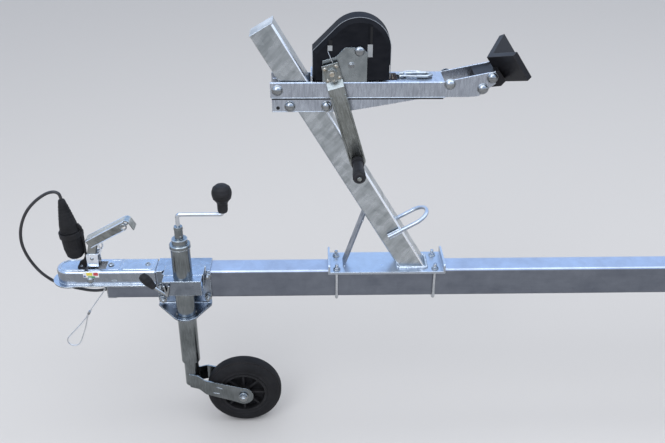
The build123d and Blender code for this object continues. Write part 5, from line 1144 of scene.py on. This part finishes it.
# The keel rollers are moulded rubber, rubbed pale where the keel runs. Each turns on a pin that a
# washer and a split pin hold in its galvanised bracket, bolted down on the beam.
ROLLER_BACKS, ROLLER_RISE = (2050, 3050, 4100, 5060), 142
PIN_WASHER = [(8, 0), (14, 0), (14, 1.2), (13.4, 1.6), (8, 1.6)]
roller_rubber = rubber("roller_rubber", (0.018, 0.018, 0.020), (0.045, 0.045, 0.048), (0.45, 0.7),
                       (0.13, 0.12, 0.11), 3)
dress(beam_zinc, "roller_brackets")
pin_spots, split_spots, foot_spots = [], [], []
for number, back in enumerate(ROLLER_BACKS, 1):
    roller = "keel_roller_%d" % number
    dress(roller_rubber, roller)
    rings = []
    for left in (-49, -44, 44, 49):
        ring = spun([(40.5, -1.0), (42.6, -0.5), (42.6, 0.5), (40.5, 1.0)], 48)
        rings.append(settle(ring, at(back, left, ROLLER_RISE), LEFT))
    complete(joined(rings), "keel_roller_rings_%d" % number, roller, roller_rubber)
    pin_spots += either_side(back, 70, ROLLER_RISE)
    split_spots += [(at(back, left, ROLLER_RISE - 11), UP) for left in (73.5, -73.5)]
    foot_spots += [(at(back + shift, left, 85), UP) for shift in (-20, 20) for left in (-40, 40)]
complete_zinc(repeated(spun(PIN_WASHER, 28), pin_spots), "roller_pin_washers")
split_pin = spun([(0, 0), (1.3, 0), (1.3, 18), (2.6, 20), (2.6, 23), (0, 24.5)], 12)
complete_zinc(repeated(split_pin, split_spots), "roller_split_pins")
complete_zinc(repeated(on_washer(13, 5.5, 9), foot_spots), "roller_bracket_bolts")


# The cross member and the posts on it are galvanised square tubes with plastic caps in their
# ends. Weld beads hold the posts, and pins with washers carry the rockers under the pads.
POST_BACK, POST_LEFT, ROCKER_PIN_RISE = CROSS_BACK + 45, 470, 183
dress(beam_zinc, "cross_member", "side_posts", "side_rocker_left", "side_rocker_right")
caps, foot_welds, washer_spots = [], [], []
for side_sign in (1, -1):
    cap = block(44.5, 44.5, 3.5, 1.2, 2)
    caps.append(settle(cap, at(CROSS_BACK, side_sign * 620, -25), LEFT * side_sign))
    lid = block(38.5, 38.5, 3, 1.2, 2)
    caps.append(settle(lid, at(POST_BACK, side_sign * POST_LEFT, 198)))
    for left in (451, 489):
        foot = at(CROSS_BACK + 25.5, side_sign * left, -45)
        foot_welds.append(weld(foot, foot + UP * 0.042, 5))
    washer_spots += [(at(POST_BACK, side_sign * POST_LEFT + 31, ROCKER_PIN_RISE), LEFT),
                     (at(POST_BACK, side_sign * POST_LEFT - 31, ROCKER_PIN_RISE), RIGHT)]
complete(joined(caps), "tube_end_caps", "frame", black_plastic)
complete(joined(foot_welds), "side_post_welds", "frame", weld_zinc)
complete_zinc(repeated(spun(PIN_WASHER, 28), washer_spots), "rocker_pin_washers")


# Each side pad is a board of black rubber, moulded with lengthwise ribs on its face and rounded
# at its ends, and bolted through to its rocker.
PAD_LEAN, PAD_RISE, PAD_LIFT = radians(20), 238, 0.0052
PAD_RIBS, RIB_PITCH = 9, 0.0088
pad_rubber = rubber("pad_rubber", (0.020, 0.020, 0.022), (0.042, 0.042, 0.045), (0.55, 0.8), edge=2.0)
for side_name, side_sign in SIDES:
    rocker = "side_rocker_" + side_name
    lean = Matrix.Rotation(PAD_LEAN * side_sign, 4, "X")
    on_rocker = Matrix.Translation(at(POST_BACK, side_sign * POST_LEFT, PAD_RISE)) @ lean
    board = [block(520, 90, 24.2, 6, 3)]
    for index in range(PAD_RIBS):
        across = (index - (PAD_RIBS - 1) / 2) * RIB_PITCH
        board.append(settle(block(500, 5.2, 3.4, 1.3, 2), Vector((0, across, 0.0222))))
    pad = joined(board)
    pad.data.transform(on_rocker @ Matrix.Translation((0, 0, PAD_LIFT)))
    complete(pad, "side_pad_ribbed_" + side_name, rocker, pad_rubber)
    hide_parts("side_pad_" + side_name)
    spots = [(on_rocker @ Vector((along, 0, 0)), lean.to_3x3() @ DOWN) for along in (-0.2, 0.2)]
    complete_zinc(repeated(on_washer(13, 5.5, 11), spots), "side_pad_bolts_" + side_name, rocker)


# The light board is a folded galvanised channel. Each lamp has a black base and moulded lenses in
# amber, red and clear, with fine prisms inside; the board is bolted to two arms beside the beam.
dress(beam_zinc, "light_board")
REAR = Vector((-1, 0, 0))
REAR_FACE = NOSE_X * 1000 + 2650
LAMP_LEFT, LAMP_RISE = 640, FLOOR_RISE + 520


def lens_finish(name, deep, bright):
    """Moulded lens plastic: a grid of fine prisms under a glossy skin."""
    finish = new_finish(name, bright, 0.12, more={"Coat Weight": 0.6, "Coat Roughness": 0.05})
    prisms = crystals(finish, 190)
    paint(finish, blend_patterns(finish, prisms, grain(finish, 40), 0.4), (0.3, deep), (0.7, bright))
    polish(finish, grain(finish, 60), 0.08, 0.2)
    relief(finish, prisms, 0.3, 1.0)
    return finish


# columns: name, place across from the lamp's middle, width, finish
LENSES = [("amber", 76, 72, lens_finish("amber_lens", (0.45, 0.12, 0.005), (0.85, 0.30, 0.02))),
          ("red", -7, 90, lens_finish("red_lens", (0.20, 0.005, 0.006), (0.55, 0.02, 0.02))),
          ("clear", -84, 60, lens_finish("clear_lens", (0.45, 0.46, 0.47), (0.80, 0.81, 0.82)))]
for side_name, side_sign in SIDES:
    base = block(100, 230, 17, 5, 3)
    settle(base, at(REAR_FACE - 48, side_sign * LAMP_LEFT, LAMP_RISE), REAR)
    complete(base, "lamp_base_" + side_name, "frame", black_plastic)
    for colour, across, width, finish in LENSES:
        lens = block(94, width, 31, 5, 4)
        open_mesh(lens)
        pick_faces(lambda middle, normal: normal.z > 0.99)
        bpy.ops.mesh.inset(thickness=0.003, depth=-0.0012)
        shut_mesh()
        settle(lens, at(REAR_FACE - 31, side_sign * (LAMP_LEFT + across), LAMP_RISE), REAR)
        complete(lens, "lamp_%s_%s" % (colour, side_name), "frame", finish, 40)
    lamp_screw = spun([(0, 0.5), (1.4, 0.5), (1.6, 1.7), (3.4, 1.2), (3.8, 0), (0, 0)], 18)
    spots = [(at(REAR_FACE - 16.9, side_sign * (LAMP_LEFT + across), LAMP_RISE), REAR)
             for across in (36.5, -51.5)]
    complete_zinc(repeated(lamp_screw, spots), "lamp_screws_" + side_name)
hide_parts("tail_lamps")
board_bolt_spots = either_side(5065, 35, 40) + either_side(5100, 35, 40) + either_side(5110, 35, 62)
complete_zinc(repeated(on_washer(17, 7, 12), board_bolt_spots), "light_board_bolts")


# The trailer stands on a plain pale floor under soft lamps, with a pale sky that deepens upward,
# so that the zinc's upper faces mirror a light blue. Only gloss sees that sky: the rest is lit by
# an even, nearly white one.
bpy.ops.mesh.primitive_plane_add(size=400, location=(0, 0, 0))
floor = bpy.context.object
floor.name = "floor"
floor.data.materials.append(new_finish("floor_paint", (0.58, 0.58, 0.59), 0.9))
EVEN_SKY, EVEN_STRENGTH, GLOSS_STRENGTH = (0.90, 0.92, 0.96, 1), 0.82, 1.25
world = bpy.data.worlds.new("sky")
bpy.context.scene.world = world
world.use_nodes = True
background = world.node_tree.nodes["Background"]
direction = add_node(world, "TexCoord")
parts = add_node(world, "SeparateXYZ")
sky = add_node(world, "ValToRGB")
sky.color_ramp.elements[0].color = (0.80, 0.84, 0.90, 1)
sky.color_ramp.elements[1].color = (0.62, 0.78, 1.0, 1)
sky.color_ramp.elements.new(0.48).color = (0.42, 0.62, 1.0, 1)
rays = add_node(world, "LightPath")
power = add_node(world, "MapRange", {"To Min": EVEN_STRENGTH, "To Max": GLOSS_STRENGTH})
mirrored = add_node(world, "Mix", data_type="RGBA")
mirrored.inputs[6].default_value = EVEN_SKY
connect(world, direction.outputs["Generated"], parts.inputs["Vector"])
connect(world, parts.outputs["Z"], sky.inputs["Fac"])
connect(world, rays.outputs["Is Glossy Ray"], power.inputs["Value"])
connect(world, rays.outputs["Is Glossy Ray"], mirrored.inputs[0])
connect(world, sky.outputs["Color"], mirrored.inputs[7])
connect(world, power.outputs["Result"], background.inputs["Strength"])
connect(world, mirrored.outputs[2], background.inputs["Color"])
# columns: name, place, aim, length, width, power in watts
for name, place, aim, length, width, watts in (
        ("top_lamp", Vector((-0.1, 0.4, 4.2)), Vector((-0.1, 0, 0)), 8.5, 4.0, 120),
        ("key_lamp", Vector((3.6, 3.2, 3.4)), Vector((1.6, 0, 0.5)), 2.4, 2.4, 60)):
    lamp_data = bpy.data.lights.new(name, "AREA")
    lamp_data.shape = "RECTANGLE"
    lamp_data.size = length
    lamp_data.size_y = width
    lamp_data.energy = watts
    lamp = bpy.data.objects.new(name, lamp_data)
    bpy.context.collection.objects.link(lamp)
    lamp.location = place
    lamp.rotation_euler = (aim - place).to_track_quat("-Z", "Y").to_euler()
